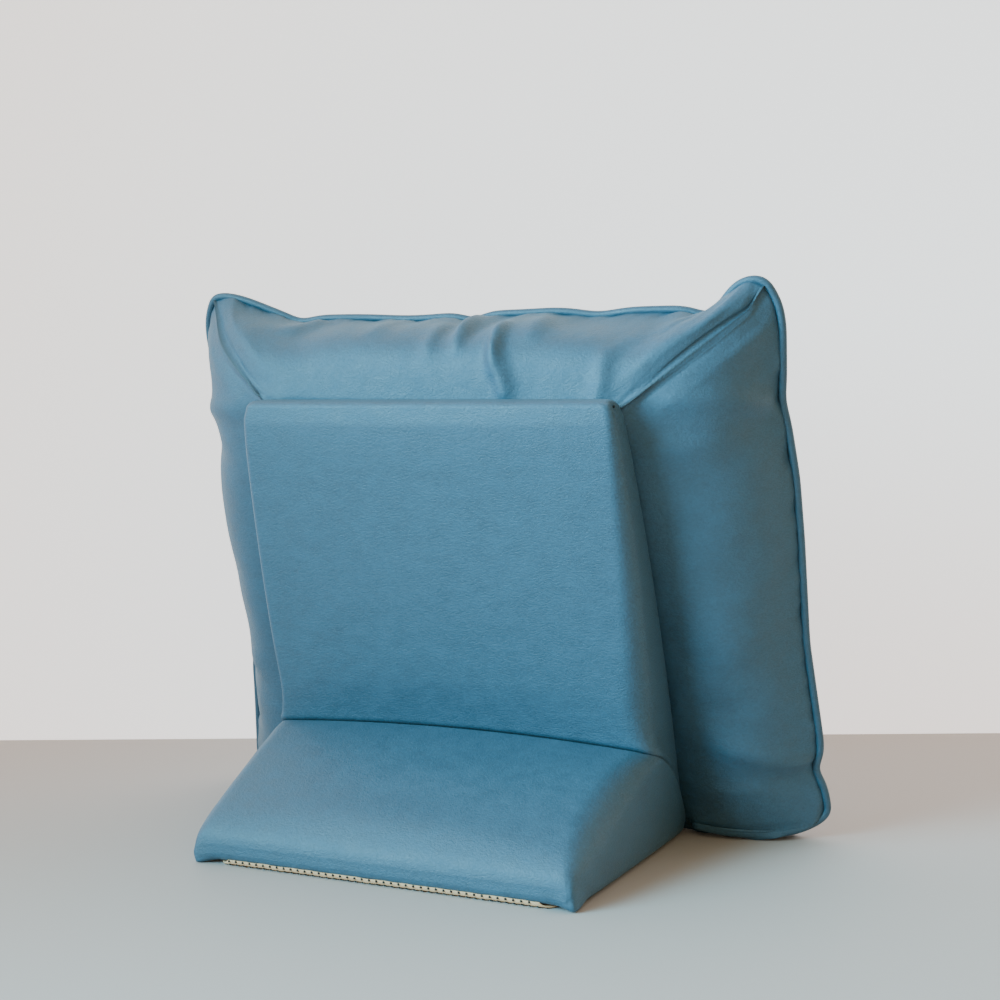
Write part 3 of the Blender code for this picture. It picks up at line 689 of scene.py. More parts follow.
def closed_skin(rings):
    """A closed mesh from rings: each end is closed to a point in its middle."""
    faces = []
    skin_rings(rings, faces)
    count = len(rings[0])
    total = count * len(rings)
    ends = [rings[0].mean(axis=0), rings[-1].mean(axis=0)]
    faces += [(total, (spot + 1) % count, spot) for spot in range(count)]
    last = total - count
    faces += [(last + spot, last + (spot + 1) % count, total + 1) for spot in range(count)]
    return np.concatenate(rings + [np.array(ends)]), faces


def new_mesh(name, points, faces):
    mesh = bpy.data.meshes.new(name)
    mesh.from_pydata(points.tolist(), [], [tuple(int(corner) for corner in face) for face in faces])
    mesh.validate()
    return mesh


def add_piece(name, shape, finish, nodes):
    """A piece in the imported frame, riding on the only body and standing for its solids."""
    points, faces, seam_shade_values = shape
    mesh = new_mesh(name, points + STEP, faces)
    # The shade painted along the seams goes with the piece as a point attribute.
    mesh.attributes.new("painted seam shade", "FLOAT", "POINT").data.foreach_set("value", seam_shade_values)
    mesh.materials.append(finish)
    mesh.shade_smooth()
    piece = new_object(name, mesh)
    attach(piece, "root")
    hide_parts(*nodes)
    return piece


def filled(points, faces, held):
    """Points of a cover after a short cloth simulation under air pressure; the held points stay."""
    piece = new_object("filling", new_mesh("filling", points, faces))
    group = piece.vertex_groups.new(name="held")
    group.add([int(index) for index in held], 1.0, "REPLACE")
    cloth = piece.modifiers.new("filling", "CLOTH")
    settings = cloth.settings
    settings.quality = CLOTH_QUALITY
    settings.mass = CLOTH_MASS
    settings.tension_stiffness = CLOTH_STIFFNESS
    settings.compression_stiffness = CLOTH_STIFFNESS
    settings.shear_stiffness = CLOTH_SHEAR
    settings.bending_stiffness = CLOTH_BENDING
    settings.use_pressure = True
    settings.uniform_pressure_force = AIR_PRESSURE
    settings.shrink_min = SLACK
    settings.vertex_group_mass = "held"
    settings.effector_weights.gravity = 0.0
    scene = bpy.context.scene
    for number in range(1, FILL_FRAMES + 1):
        scene.frame_set(number)
    result = piece.evaluated_get(bpy.context.evaluated_depsgraph_get())
    after = np.array([vertex.co for vertex in result.data.vertices])
    bpy.data.objects.remove(piece, do_unlink=True)
    scene.frame_set(1)
    move = after - points
    length = np.linalg.norm(move, axis=1, keepdims=True)
    return move * MOST_MOVE * np.tanh(length / MOST_MOVE) / np.maximum(length, 1e-9)


def evened(move, border_count, from_mitre):
    """The fill's moves on the grid, evened out between neighbours and calmed beside the mitres."""
    for _ in range(SMOOTHING_PASSES):
        move = (2 * move + np.roll(move, 1, axis=1) + np.roll(move, -1, axis=1)) / 4
        above = np.concatenate([move[:1], move[:-1]])
        below = np.concatenate([move[1:], move[-1:]])
        move = (2 * move + above + below) / 4
    move[:border_count] *= smoothstep(from_mitre[:border_count] / SEAM_CALM)[:, :, None]
    return move


def double_columns(rings):
    """Twice the columns: a new one between each two, on a smooth curve through four of them."""
    rings = np.array(rings)
    between = (9 * (rings + np.roll(rings, -1, axis=1)) - np.roll(rings, 1, axis=1)
               - np.roll(rings, -2, axis=1)) / 16
    return np.stack([rings, between], axis=2).reshape(len(rings), -1, *rings.shape[2:])


def double_rings(rings):
    """Twice the rings, in the same way, with straight ends."""
    rings = np.array(rings)
    before, after, later = neighbours(rings)
    between = (9 * (rings + after) - before - later) / 16
    doubled = np.stack([rings, between], axis=1).reshape(-1, *rings.shape[1:])
    return doubled[:-1]


def grid_normals(rings):
    across = np.roll(rings, -1, axis=1) - np.roll(rings, 1, axis=1)
    down = np.gradient(rings, axis=0)
    return unit(np.cross(across, down))


def bowed(border, share):
    """The border with its upper mitres moved sideways, so that they bend as they run down from the ears."""
    down = run_length(border)
    down = down / down[-1:]
    shift = np.zeros(down.shape)
    for index, amount, top in MITRE_BOWS:
        distance = from_columns(border, [corner_columns(share)[index]])
        bow = smoothstep(np.minimum(down / top, 1.0)) * np.clip((1.0 - down) / (1.0 - top), 0.0, 1.0)
        shift = shift + amount * np.minimum(bow, 1.0) * bump(distance, 0.0, MITRE_BOW_REACH)
    run = unit(np.roll(border, -1, axis=1) - np.roll(border, 1, axis=1))
    return border + run * shift[:, :, None]


def border_relief(border, number, share):
    """Folds, mitre grooves, puckers along the piping and slight ripples, as depths below the border.

    Gives also the distances from the piping and along the rings, and where shade is painted along the
    seams.
    """
    from_mitre = from_columns(border, corner_columns(share))
    along, _ = ring_run(border)
    from_piping = run_length(border)
    from_panel = from_piping[-1:] - from_piping
    depth = np.zeros(along.shape)
    for ring, points in enumerate(border):
        place = border_share(ring / 2)
        folds = np.where(number == 0, fold_depth(TOP_FOLDS, points[:, 0], place), 0.0)
        folds = np.where(number == 1, fold_depth(RIGHT_FOLDS, points[:, 2], place), folds)
        depth[ring] = np.where(number == 3, fold_depth(LEFT_FOLDS, points[:, 2], place), folds)
    depth *= smoothstep(from_piping / FOLDS_IN) * smoothstep(from_panel / FOLDS_OUT)
    mitre = GROOVE_DEEP * bump(from_mitre, 0.0, GROOVE_HALF)
    mitre = mitre - ROLL_HIGH * bump(from_mitre, ROLL_AWAY, ROLL_HALF)
    mitre = mitre * smoothstep(from_piping / MITRE_ENDS) * smoothstep(from_panel / MITRE_ENDS)
    upper = smoothstep((border[:, :, 2] - GROOVE_LOW) / GROOVE_LOW)
    mitre = mitre * upper
    # Painted shade along the piping seam and the upper mitres, where the cover sinks into a groove.
    seam = np.maximum(bump(from_piping, 0.0, SEAM_SHADE), upper * bump(from_mitre, 0.0, SEAM_SHADE))
    place = along[:1] + PUCKER_SLANT * from_piping
    coarse, fine = (waves(place, *row) for row in PUCKER_WAVES)
    pucker = np.clip(coarse + PUCKER_FINE * fine, 0.0, None)
    pucker = pucker * PUCKER_DEEP * np.exp(-from_piping / PUCKER_REACH)
    pucker = pucker * smoothstep(from_piping / PUCKER_IN)
    ripple = RIPPLE_DEEP * waves(along + RIPPLE_SLANT * from_piping, *RIPPLE_WAVES[0])
    ripple = ripple * waves(from_piping, *RIPPLE_WAVES[1])
    calm = smoothstep(from_mitre / RELIEF_CALM)
    return depth + mitre + (pucker + ripple) * calm, from_piping, along, seam


def bellied(border, from_piping):
    """The borders' low ends sag beside the stand, down to the floor and over the piping."""
    beside = smoothstep((abs(border[:, :, 0]) - BELLY_FROM) / BELLY_FADE)
    low = bump(border[:, :, 2], BELLY_HEIGHT, BELLY_SPREAD) * beside * smoothstep(from_piping / BELLY_EASE)
    return border + low[:, :, None] * np.array(BELLY_MOVE)


def cushion_shape():
    """The filled cover: back panel, borders and sitting face, and where shade is painted along its seams.
    """
    loop = piping_loop()
    seam = loop - outward(loop) * SEAM_IN
    panel = panel_loop()
    border = border_rings(seam, panel)
    backing = panel_rings(panel)
    rings = backing + border[::-1] + face_rings(seam)
    points, faces = closed_skin(rings)
    count = len(loop)
    number, share = side_share()
    seam_ring = len(backing) + BORDER_RINGS
    grid = np.array(rings)
    held = set(range((len(backing) + 1) * count))
    held |= set(range(seam_ring * count, (seam_ring + 1) * count))
    for corner in corner_columns(share):
        held |= {ring * count + corner for ring in range(seam_ring)}
    held.add(len(points) - 2)
    move = filled(points, faces, sorted(held))[:count * len(rings)].reshape(grid.shape)
    move = evened(move, seam_ring, from_columns(grid, corner_columns(share)))
    move[:len(backing) + 1] = 0.0
    move[seam_ring] = 0.0
    grid = grid + move
    grid = double_columns(grid)
    border = double_rings(grid[len(backing):seam_ring + 1][::-1])
    face = double_rings(grid[seam_ring:])
    number = np.repeat(number, 2)
    share = np.stack([share, np.full(count, 0.5)], axis=1).ravel()
    border = bowed(border, share)
    depth, from_piping, along, seam_shade_grid = border_relief(border, number, share)
    depth[0] = 0.0
    fine = double_columns(loop[None])[0]
    lip = LIP_HIGH * (1.0 + LIP_UNEVEN * waves(along[:1], *LIP_WAVE)) * from_piping / LIP_REACH
    lip = lip * np.exp(1.0 - from_piping / LIP_REACH)
    border = border - grid_normals(border) * depth[:, :, None] + outward(fine)[None] * lip[:, :, None]
    border = bellied(border, from_piping)
    for ring in border:
        keep_clear(ring)
    face[:, :, 2] = np.maximum(face[:, :, 2], FLOOR_CLEAR)
    points, faces = closed_skin(list(grid[:len(backing)]) + list(border[::-1]) + list(face[1:]))
    # Painted seam shade, on the borders' points only.
    seam_shade_values = np.zeros(len(points))
    first = len(backing) * border.shape[1]
    seam_shade_values[first:first + seam_shade_grid.size] = seam_shade_grid[::-1].ravel()
    return points, faces, seam_shade_values


# Node trees

def new_node(tree, kind, inputs=None, **settings):
    """A node with its settings; each input is a value or another node's output."""
    made = tree.nodes.new(kind)
    for name, value in settings.items():
        setattr(made, name, value)
    feed(tree, made, inputs or {})
    return made


def feed(tree, node, inputs):
    """Set or link a node's inputs."""
    for name, value in inputs.items():
        if isinstance(value, bpy.types.NodeSocket):
            tree.links.new(value, node.inputs[name])
        else:
            node.inputs[name].default_value = value


def new_tree(name, kind, inputs, outputs):
    """A tree with its sockets, and its two end nodes."""
    tree = bpy.data.node_groups.new(name, kind)
    for label, socket, value in inputs:
        made = tree.interface.new_socket(name=label, in_out="INPUT", socket_type="NodeSocket" + socket)
        if value is not None:
            made.default_value = value
    for label, socket in outputs:
        tree.interface.new_socket(name=label, in_out="OUTPUT", socket_type="NodeSocket" + socket)
    return tree, tree.nodes.new("NodeGroupInput"), tree.nodes.new("NodeGroupOutput")


def finished(tree, geometry, finish, result):
    """Make the tree's geometry real, give it its material and hand it out."""
    whole = new_node(tree, "GeometryNodeRealizeInstances", {"Geometry": geometry})
    cover = new_node(tree, "GeometryNodeSetMaterial",
                     {"Geometry": whole.outputs["Geometry"], "Material": finish})
    tree.links.new(cover.outputs["Geometry"], result)
    return tree


def socket_name(tree, name):
    """A modifier reads a tree's input by its identifier."""
    return next(item.identifier for item in tree.interface.items_tree if item.name == name)


def grown(name, points, edges, attributes, tree, settings, finish):
    """A plain mesh piece grown by a geometry nodes tree from points or a path."""
    mesh = bpy.data.meshes.new(name)
    mesh.from_pydata((points + STEP).tolist(), edges, [])
    for label, kind, values in attributes:
        made = mesh.attributes.new(label, kind, "POINT")
        made.data.foreach_set("vector" if kind == "FLOAT_VECTOR" else "value", np.ravel(values))
    source = new_object(name + "_path", mesh)
    grow = source.modifiers.new("grow", "NODES")
    grow.node_group = tree
    for label, value in settings.items():
        grow[socket_name(tree, label)] = value
    evaluated = source.evaluated_get(bpy.context.evaluated_depsgraph_get())
    result = bpy.data.meshes.new_from_object(evaluated)
    bpy.data.objects.remove(source, do_unlink=True)
    result.name = name
    result.materials.clear()
    result.materials.append(finish)
    piece = new_object(name, result)
    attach(piece, "root")
    return piece


# The piping

def cord_tree(finish):
    """Geometry nodes: a round covered cord along a closed path; its thickness follows the path's points."""
    tree, start, end = new_tree(
        "covered cord", "GeometryNodeTree",
        [("Path", "Geometry", None), ("Radius", "Float", PIPING_RADIUS), ("Sides", "Int", PIPING_SIDES)],
        [("Cord", "Geometry")])
    path = new_node(tree, "GeometryNodeMeshToCurve", {"Mesh": start.outputs["Path"]})
    thickness = new_node(tree, "GeometryNodeInputNamedAttribute", {"Name": "thickness"}, data_type="FLOAT")
    uneven = new_node(tree, "GeometryNodeSetCurveRadius",
                      {"Curve": path.outputs["Curve"], "Radius": thickness.outputs["Attribute"]})
    section = new_node(tree, "GeometryNodeCurvePrimitiveCircle",
                       {"Radius": start.outputs["Radius"], "Resolution": start.outputs["Sides"]})
    cord = new_node(tree, "GeometryNodeCurveToMesh",
                    {"Curve": uneven.outputs["Curve"], "Profile Curve": section.outputs["Curve"]})
    return finished(tree, cord.outputs["Mesh"], finish, end.inputs["Cord"])


def add_piping(finish):
    """A covered cord round the sitting face, a little uneven in thickness."""
    loop = edge_loop()[::2]
    loop = loop + outward(loop) * CORD_SHIFT
    distance = np.cumsum(np.linalg.norm(np.roll(loop, -1, axis=0) - loop, axis=1))
    thickness = 1.0 + sum(share * waves(distance, length, seed) for share, length, seed in CORD_WAVES)
    loop[:, 2] = np.maximum(loop[:, 2], FLOOR_CLEAR + CORD_SHOWN * thickness)
    edges = [(spot, (spot + 1) % len(loop)) for spot in range(len(loop))]
    piece = grown("edge_piping", loop, edges, [("thickness", "FLOAT", thickness)], cord_tree(finish),
                  {"Radius": CORD_SHOWN, "Sides": PIPING_SIDES}, finish)
    piece.data.shade_smooth()
    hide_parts("piping")
    return piece


# The stand's pads

def rounded(distance, radius):
    """Where a point at this distance from a square corner lies once the corner is rounded.

    Gives its distance from the corner along its own edge, and how far it is drawn in from that edge.
    """
    angle = pi / 4 * np.clip(1.0 - distance / radius, 0.0, 1.0)
    along = distance if distance >= radius else radius * (1.0 - np.sin(angle))
    return float(along), float(radius * (1.0 - np.cos(angle)))


def flat_side(depth, half_front, half_back, radii, swell):
    """One side of a section, from its front to its back."""
    side = []
    for share in np.linspace(0.0, 1.0, PAD_DEEP + 1):
        near_front = share <= 0.5
        half = half_front + (half_back - half_front) * share + SIDE_SWELL * swell * np.sin(pi * share)
        along, drop = rounded(min(share, 1.0 - share) * depth, radii[0] if near_front else radii[1])
        side.append((half - drop, along if near_front else depth - along))
    return side


def flat_ring(depth, half_front, half_back, radii, swell):
    """A rounded oblong as (across, deep) pairs; radii are those of its left front, right front and back.

    The points run across the front, down the right side, across the back, and up the left side.
    """
    left_front, right_front, behind = radii
    steps = np.linspace(-1.0, 1.0, PAD_ACROSS + 1)
    steps = np.sign(steps) * (1.0 - (1.0 - abs(steps)) ** EDGE_CROWDING)
    front = []
    back = []
    for share in steps[:-1]:
        corner = left_front if share < 0 else right_front
        for run, half, radius, base, turn in ((front, half_front, corner, 0.0, 1),
                                              (back, half_back, behind, depth, -1)):
            along, drop = rounded((1.0 - abs(share)) * half, radius)
            run.append((turn * np.sign(share) * (half - along), base + turn * drop))
    right = flat_side(depth, half_front, half_back, (right_front, behind), swell)
    left = flat_side(depth, half_front, half_back, (left_front, behind), swell)
    left = [(-across, deep) for across, deep in left]
    return np.array(front + right[:-1] + back + left[:0:-1])


def pad_ring(front, back, half_front, half_back, radii, swell, bow=0.0, rise=0.0, inset=0.0, skew=0.0):
    """One section of a pad, from its showing side (front) to its hidden side (back), both as (Y, Z).

    swell rounds the front, bow bends the way from front to back, rise lifts the middle of the front,
    inset shrinks the section, and skew shifts it across.
    """
    front = np.array(front)
    back = np.array(back)
    depth = np.linalg.norm(back - front)
    direction = (back - front) / depth
    normal = np.array([-direction[1], direction[0]])
    radii = [min(radius, RADIUS_MOST * depth) for radius in radii]
    flat = flat_ring(depth, half_front, half_back, radii, swell)
    across, deep = flat[:, :1], flat[:, 1:]
    lateral = np.clip(1.0 - (across / half_front) ** 2, 0.0, None)
    towards = 1.0 - deep / depth
    spots = front + direction * (inset + deep * (1.0 - 2.0 * inset / depth))
    spots = spots - direction * swell * lateral * towards ** SWELL_FADE
    spots = spots + normal * bow * np.sin(pi * deep / depth)
    spots = spots + np.array([0.0, rise]) * lateral * towards ** RISE_FADE
    return np.concatenate([across * (1.0 - inset / half_front) + skew, spots], axis=1)


def crease_point():
    return np.array([CREASE_BACK, CREASE_HEIGHT])


def heel_point():
    """Where the seam between the two pads ends, low on the upright's back."""
    return np.array([UPRIGHT_LEAN / UPRIGHT_TOP * HEEL_HEIGHT, HEEL_HEIGHT])


def seam_ring(side):
    """The section both pads share, shifted by part of a gap; +1 is the upright's side, -1 the foot's."""
    along = unit(heel_point() - crease_point())
    shift = side * SEAM_SPREAD * GAP * np.array([-along[1], along[0]])
    return pad_ring(crease_point() + shift, heel_point() + shift, CREASE_HALF, HEEL_HALF,
                    SEAM_EDGES, CREASE_DIP, bow=SEAM_BOW, rise=CREASE_RISE)


def drawn_in(ring, amount):
    """A section moved inwards along its own plane by this amount at each point."""
    along = tangents(ring)
    axis = unit(np.cross(ring[PAD_ACROSS // 2] - ring[0], ring[PAD_ACROSS + PAD_DEEP] - ring[PAD_ACROSS]))
    inwards = np.cross(axis, along)
    towards = ring.mean(axis=0) - ring
    inwards = inwards * np.sign(np.sum(inwards * towards, axis=1).mean())
    return ring + inwards * np.broadcast_to(amount, len(ring))[:, None]


def crease_draw(ring, distance):
    """How far a section at this distance from the seam between the pads is drawn in."""
    share, length, seed = CREASE_UNEVEN
    uneven = 1.0 + share * waves(ring[:, 0] + ring[:, 2], length, seed)
    high, away, half = CREASE_ROLL
    return (CREASE_DRAW * bump(distance, 0.0, CREASE_DRAW_HALF) * uneven
            - high * CREASE_DRAW * bump(distance, away * CREASE_DRAW_HALF, half * CREASE_DRAW_HALF))


def upright_rings():
    top_front = np.array([UPRIGHT_LEAN - UPRIGHT_THICK, UPRIGHT_TOP - TOP_SLOPE])
    top_back = np.array([UPRIGHT_LEAN, UPRIGHT_TOP])
    height = np.linalg.norm(top_front - crease_point())
    rings = [drawn_in(seam_ring(+1), crease_draw(seam_ring(+1), 0.0))]
    for share in (*CREASE_STEPS, *np.linspace(*UPRIGHT_STEPS)):
        front = crease_point() + (top_front - crease_point()) * share
        front[0] += TOP_EASE * max(0.0, (share - TOP_EASE_FROM) / (1.0 - TOP_EASE_FROM)) ** 2
        back = heel_point() + (top_back - heel_point()) * (BACK_LEAD * share ** 0.5 * (1 - share) + share)
        fade = (1.0 - min(1.0, share / SEAM_FADE)) ** 2
        half = STAND_HALF + UPRIGHT_BELLY * np.sin(pi * share ** BELLY_SHAPE[0]) ** BELLY_SHAPE[1]
        half_front = half + (CREASE_HALF - half) * (1 - min(1.0, share / CREASE_FADE)) ** 2
        swell = FACE_SWELL * min(1.0, share / CREASE_FADE)
        own = min(1.0, share / SEAM_BLEND)
        edges = [near + (far - near) * own for near, far in zip(SEAM_EDGES, UPRIGHT_EDGES)]
        edges[1] = np.interp(share, column(RIGHT_EDGE, 0), column(RIGHT_EDGE, 1))
        ring = pad_ring(front, back, half_front, half, edges, swell,
                        bow=SEAM_BOW * fade, rise=CREASE_RISE * fade)
        rings.append(drawn_in(ring, crease_draw(ring, share * height)))
    lean = unit(top_back - heel_point())
    top_front[0] += TOP_EASE
    for turn in np.linspace(*TOP_STEPS):
        angle = turn * pi / 2
        inset = TOP_ROUND * (1.0 - np.cos(angle))
        lift = lean * TOP_ROUND * (np.sin(angle) - 1.0)
        rings.append(pad_ring(top_front + lift, top_back + lift, STAND_HALF, STAND_HALF, UPRIGHT_EDGES,
                              FACE_SWELL * TOP_SWELL, inset=inset))
    return rings


def smooth_rows(rows, between):
    """More rows on a smooth curve through the table's rows."""
    rows = np.array(rows)
    before, after, later = neighbours(rows)
    result = []
    for start in range(len(rows) - 1):
        a, b, c, d = before[start], rows[start], after[start], later[start]
        for step in range(between):
            t = step / between
            result.append(0.5 * (2 * b + (c - a) * t + (2 * a - 5 * b + 4 * c - d) * t ** 2
                                 + (3 * b - a - 3 * c + d) * t ** 3))
    return result + [rows[-1]]


def dimpled(shape, spot, deep, reach):
    """A small dimple in a pad's cover, where a stitch is pulled tight."""
    points, faces, seam_shade_values = shape
    distance = np.linalg.norm(points - np.array(spot), axis=1)
    inward = unit(points.mean(axis=0) - np.array(spot))
    return points + inward * (deep * bump(distance, 0.0, reach))[:, None], faces, seam_shade_values


def add_stitch(name, spot, radius, finish):
    """A small knot of thread, flattened against the cover."""
    mesh = bpy.data.meshes.new(name)
    shape = bmesh.new()
    bmesh.ops.create_icosphere(shape, subdivisions=2, radius=radius)
    bmesh.ops.scale(shape, vec=(0.7, 1.0, 1.0), verts=shape.verts)
    bmesh.ops.translate(shape, vec=np.array(spot) + STEP, verts=shape.verts)
    shape.to_mesh(mesh)
    shape.free()
    mesh.materials.append(finish)
    mesh.shade_smooth()
    piece = new_object(name, mesh)
    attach(piece, "root")
    return piece


def foot_rings():
    ground = GRIP_THICK + GAP
    rings = []
    rows = smooth_rows(FOOT_SECTIONS, FOOT_BETWEEN)
    for top_back, top, low_back, low, half_top, half_low in rows:
        share = (top_back + FOOT_LENGTH) / (CREASE_BACK + FOOT_LENGTH)
        fade = max(0.0, (share - FOOT_SEAM_FROM) / (1.0 - FOOT_SEAM_FROM)) ** 2
        swell = FACE_SWELL * (1.0 - fade) * smoothstep(share / FOOT_SWELL_TO)
        rings.append(pad_ring((top_back, top), (low_back, ground + low), half_top, half_low,
                              FOOT_EDGES, swell, bow=SEAM_BOW * fade, rise=CREASE_RISE * fade,
                              skew=FOOT_SKEW * (1.0 - share)))
    last = rings[-1]
    seam = seam_ring(-1)
    span = np.linalg.norm(last[PAD_ACROSS // 2] - seam[PAD_ACROSS // 2])
    rings = [drawn_in(ring, crease_draw(ring, span + CREASE_BACK - CREASE_LAP - row[0]))
             for ring, row in zip(rings, rows)]
    for share in FOOT_LAST:
        ring = last + (seam - last) * share
        rings.append(drawn_in(ring, crease_draw(ring, span * (1.0 - share))))
    for ring in rings:
        beside = smoothstep((abs(ring[:, 0]) - STAND_HALF + GRIP_INSET[0]) / FOOT_DROOP_REACH)
        front = 1.0 - smoothstep((ring[:, 1] + FOOT_LENGTH) / FOOT_DROOP_DEEP)
        droop = beside * front * (1.0 - smoothstep(ring[:, 2] / FOOT_DROOP_REACH))
        droop = droop * np.where(ring[:, 0] < 0, FOOT_DROOP_LEFT, 1.0)
        ring[:, 0] += np.sign(ring[:, 0]) * droop * FOOT_DROOP * DROOP_OUT
        ring[:, 1] -= droop * FOOT_DROOP * DROOP_FORWARD
        ring[:, 2] -= droop * FOOT_DROOP
        tip = beside * front * (1.0 - smoothstep(ring[:, 2] / FOOT_TIP_HEIGHT)) * (ring[:, 0] < 0)
        ring[:, 0] += tip * FOOT_TIP_IN
        ring[:, 2] = np.maximum(ring[:, 2], ground + (FLOOR_CLEAR - ground) * beside * front)
    return rings


def cap(ring):
    """A grid over the end ring of a pad, between its front, back and two sides."""
    top = np.arange(0, PAD_ACROSS + 1)
    right = np.arange(PAD_ACROSS, PAD_ACROSS + PAD_DEEP + 1)
    bottom = np.arange(PAD_ACROSS + PAD_DEEP, 2 * PAD_ACROSS + PAD_DEEP + 1)[::-1]
    left = (np.arange(2 * PAD_ACROSS + PAD_DEEP, 2 * (PAD_ACROSS + PAD_DEEP) + 1) % len(ring))[::-1]
    inner = []
    index = np.zeros((PAD_DEEP + 1, PAD_ACROSS + 1), dtype=int)
    index[0], index[-1] = top, bottom
    index[:, 0], index[:, -1] = left, right
    for row in range(1, PAD_DEEP):
        for col in range(1, PAD_ACROSS):
            u, v = col / PAD_ACROSS, row / PAD_DEEP
            edges = ((1 - v) * ring[top[col]] + v * ring[bottom[col]]
                     + (1 - u) * ring[left[row]] + u * ring[right[row]])
            corners = ((1 - v) * ((1 - u) * ring[top[0]] + u * ring[top[-1]])
                       + v * ((1 - u) * ring[bottom[0]] + u * ring[bottom[-1]]))
            index[row, col] = len(ring) + len(inner)
            inner.append(edges - corners)
    return index, np.array(inner)


def pad_shape(rings):
    """A closed pad: sections joined by quads and closed by a grid at each end."""
    faces = []
    skin_rings(rings, faces)
    points = [np.concatenate(rings)]
    count = len(rings[0])
    total = count * len(rings)
    for ring, start, flip in ((rings[0], 0, True), (rings[-1], total - count, False)):
        index, inner = cap(ring)
        lookup = np.where(index < count, index + start, index - count + total)
        total += len(inner)
        points.append(inner)
        for row in range(PAD_DEEP):
            for col in range(PAD_ACROSS):
                quad = (*lookup[row, col:col + 2], *lookup[row + 1, col:col + 2][::-1])
                faces.append(quad[::-1] if flip else quad)
    points = np.concatenate(points)
    # Painted shade along the seam between the two pads.
    away = np.linalg.norm(points[:, None] - seam_ring(+1)[None], axis=2).min(axis=1)
    return points, faces, bump(away, 0.0, SEAM_SHADE)


# The grip cloth and its dots

def grip_path():
    """Y and height of the cloth's outer side, from the heel to its turned-up front edge."""
    backs = np.linspace(-GRIP_INSET[2], GRIP_TURN[0][0], GRIP_STEPS)[:-1]
    heel = np.array([(back, GRIP_LIFT) for back in backs])
    return np.concatenate([heel, np.array(smooth_rows(GRIP_TURN, GRIP_BETWEEN))])


def grip_frame():
    """For each row of the cloth: its middle, its outward direction, and its half width."""
    path = grip_path()
    steps = np.gradient(path, axis=0)
    facing = unit(np.stack([steps[:, 1], -steps[:, 0]], axis=1)) * -1.0
    facing = facing * np.sign(-facing[:1, 1:])
    run = run_length(path)
    clipped = np.maximum(GRIP_CLIP - np.minimum(run, run[-1] - run), 0.0)
    return path, facing, STAND_HALF - GRIP_INSET[0] - clipped, run


def grip_shape():
    """A thin cloth under the foot, turned up a little against the foot's front."""
    path, facing, half, _ = grip_frame()
    share = np.linspace(-1.0, 1.0, GRIP_ACROSS + 1)
    across = half[:, None] * share[None]
    back, height = (np.repeat(path[:, axis:axis + 1], GRIP_ACROSS + 1, 1) for axis in range(2))
    outer = np.stack([across, back, height], axis=2)
    deep, length, seed = GRIP_WAVE
    outer[:, :, 2] += deep * waves(across, length, seed) * smoothstep((path[:, 1:] - GRIP_LIFT) / 0.001)
    inner = outer.copy()
    inner[:, :, 1:] -= facing[:, None, :] * GRIP_CLOTH
    rows = len(path)
    count = GRIP_ACROSS + 1
    total = rows * count
    faces = []
    for row in range(rows - 1):
        for col in range(GRIP_ACROSS):
            spot = row * count + col
            quad = (spot, spot + 1, spot + count + 1, spot + count)
            faces.append(quad)
            faces.append(tuple(corner + total for corner in quad[::-1]))
    rim = list(range(count)) + [row * count + GRIP_ACROSS for row in range(1, rows)]
    rim += [total - 1 - col for col in range(1, count)] + [row * count for row in range(rows - 2, 0, -1)]
    for spot, after in zip(rim, rim[1:] + rim[:1]):
        faces.append((spot + total, after + total, after, spot))
    points = np.concatenate([outer.reshape(-1, 3), inner.reshape(-1, 3)])
    return points, faces, np.zeros(len(points))


def dot_spots():
    """Places and directions of the rubber dots, in staggered rows over the cloth's outer side."""
    path, facing, half, run = grip_frame()
    places = []
    directions = []
    rows = int((run[-1] - DOT_EDGE) / (DOT_SPACING / 2))
    for row in range(rows):
        along = run[-1] - DOT_EDGE - row * DOT_SPACING / 2
        spot = [np.interp(along, run, path[:, axis]) for axis in range(2)]
        turn = [np.interp(along, run, facing[:, axis]) for axis in range(2)]
        reach = np.interp(along, run, half) - DOT_SPACING / 3
        across = np.arange(-reach + (row % 2) * DOT_SPACING / 2, reach, DOT_SPACING)
        places += [(x, spot[0], spot[1]) for x in across]
        directions += [(0.0, turn[0], turn[1])] * len(across)
    return np.array(places), np.array(directions)


def dots_tree(finish):
    """Geometry nodes: a low rubber dot on every point, turned to the point's own direction."""
    tree, start, end = new_tree(
        "rubber dots", "GeometryNodeTree",
        [("Spots", "Geometry", None), ("Radius", "Float", DOT_RADIUS), ("Height", "Float", DOT_HEIGHT)],
        [("Dots", "Geometry")])
    narrow = math_node(tree, "MULTIPLY", start.outputs["Radius"], DOT_TAPER)
    dot = new_node(tree, "GeometryNodeMeshCone",
                   {"Vertices": DOT_SIDES, "Radius Bottom": start.outputs["Radius"], "Radius Top": narrow,
                    "Depth": start.outputs["Height"]}, fill_type="TRIANGLE_FAN")
    facing = new_node(tree, "GeometryNodeInputNamedAttribute", {"Name": "facing"}, data_type="FLOAT_VECTOR")
    turn = new_node(tree, "FunctionNodeAlignRotationToVector",
                    {"Vector": facing.outputs["Attribute"]}, axis="Z")
    spots = new_node(tree, "GeometryNodeInstanceOnPoints",
                     {"Points": start.outputs["Spots"], "Instance": dot.outputs["Mesh"],
                      "Rotation": turn.outputs["Rotation"]})
    return finished(tree, spots.outputs["Instances"], finish, end.inputs["Dots"])


# Materials

def new_material(name, **inputs):
    """A material; its shader's inputs go by their names, with underscores for spaces."""
    made = bpy.data.materials.new(name)
    made.use_nodes = True
    shader = made.node_tree.nodes["Principled BSDF"]
    feed(made.node_tree, shader, {label.replace("_", " "): value for label, value in inputs.items()})
    return made, made.node_tree, shader


def solid(colour):
    return (*colour, 1.0)


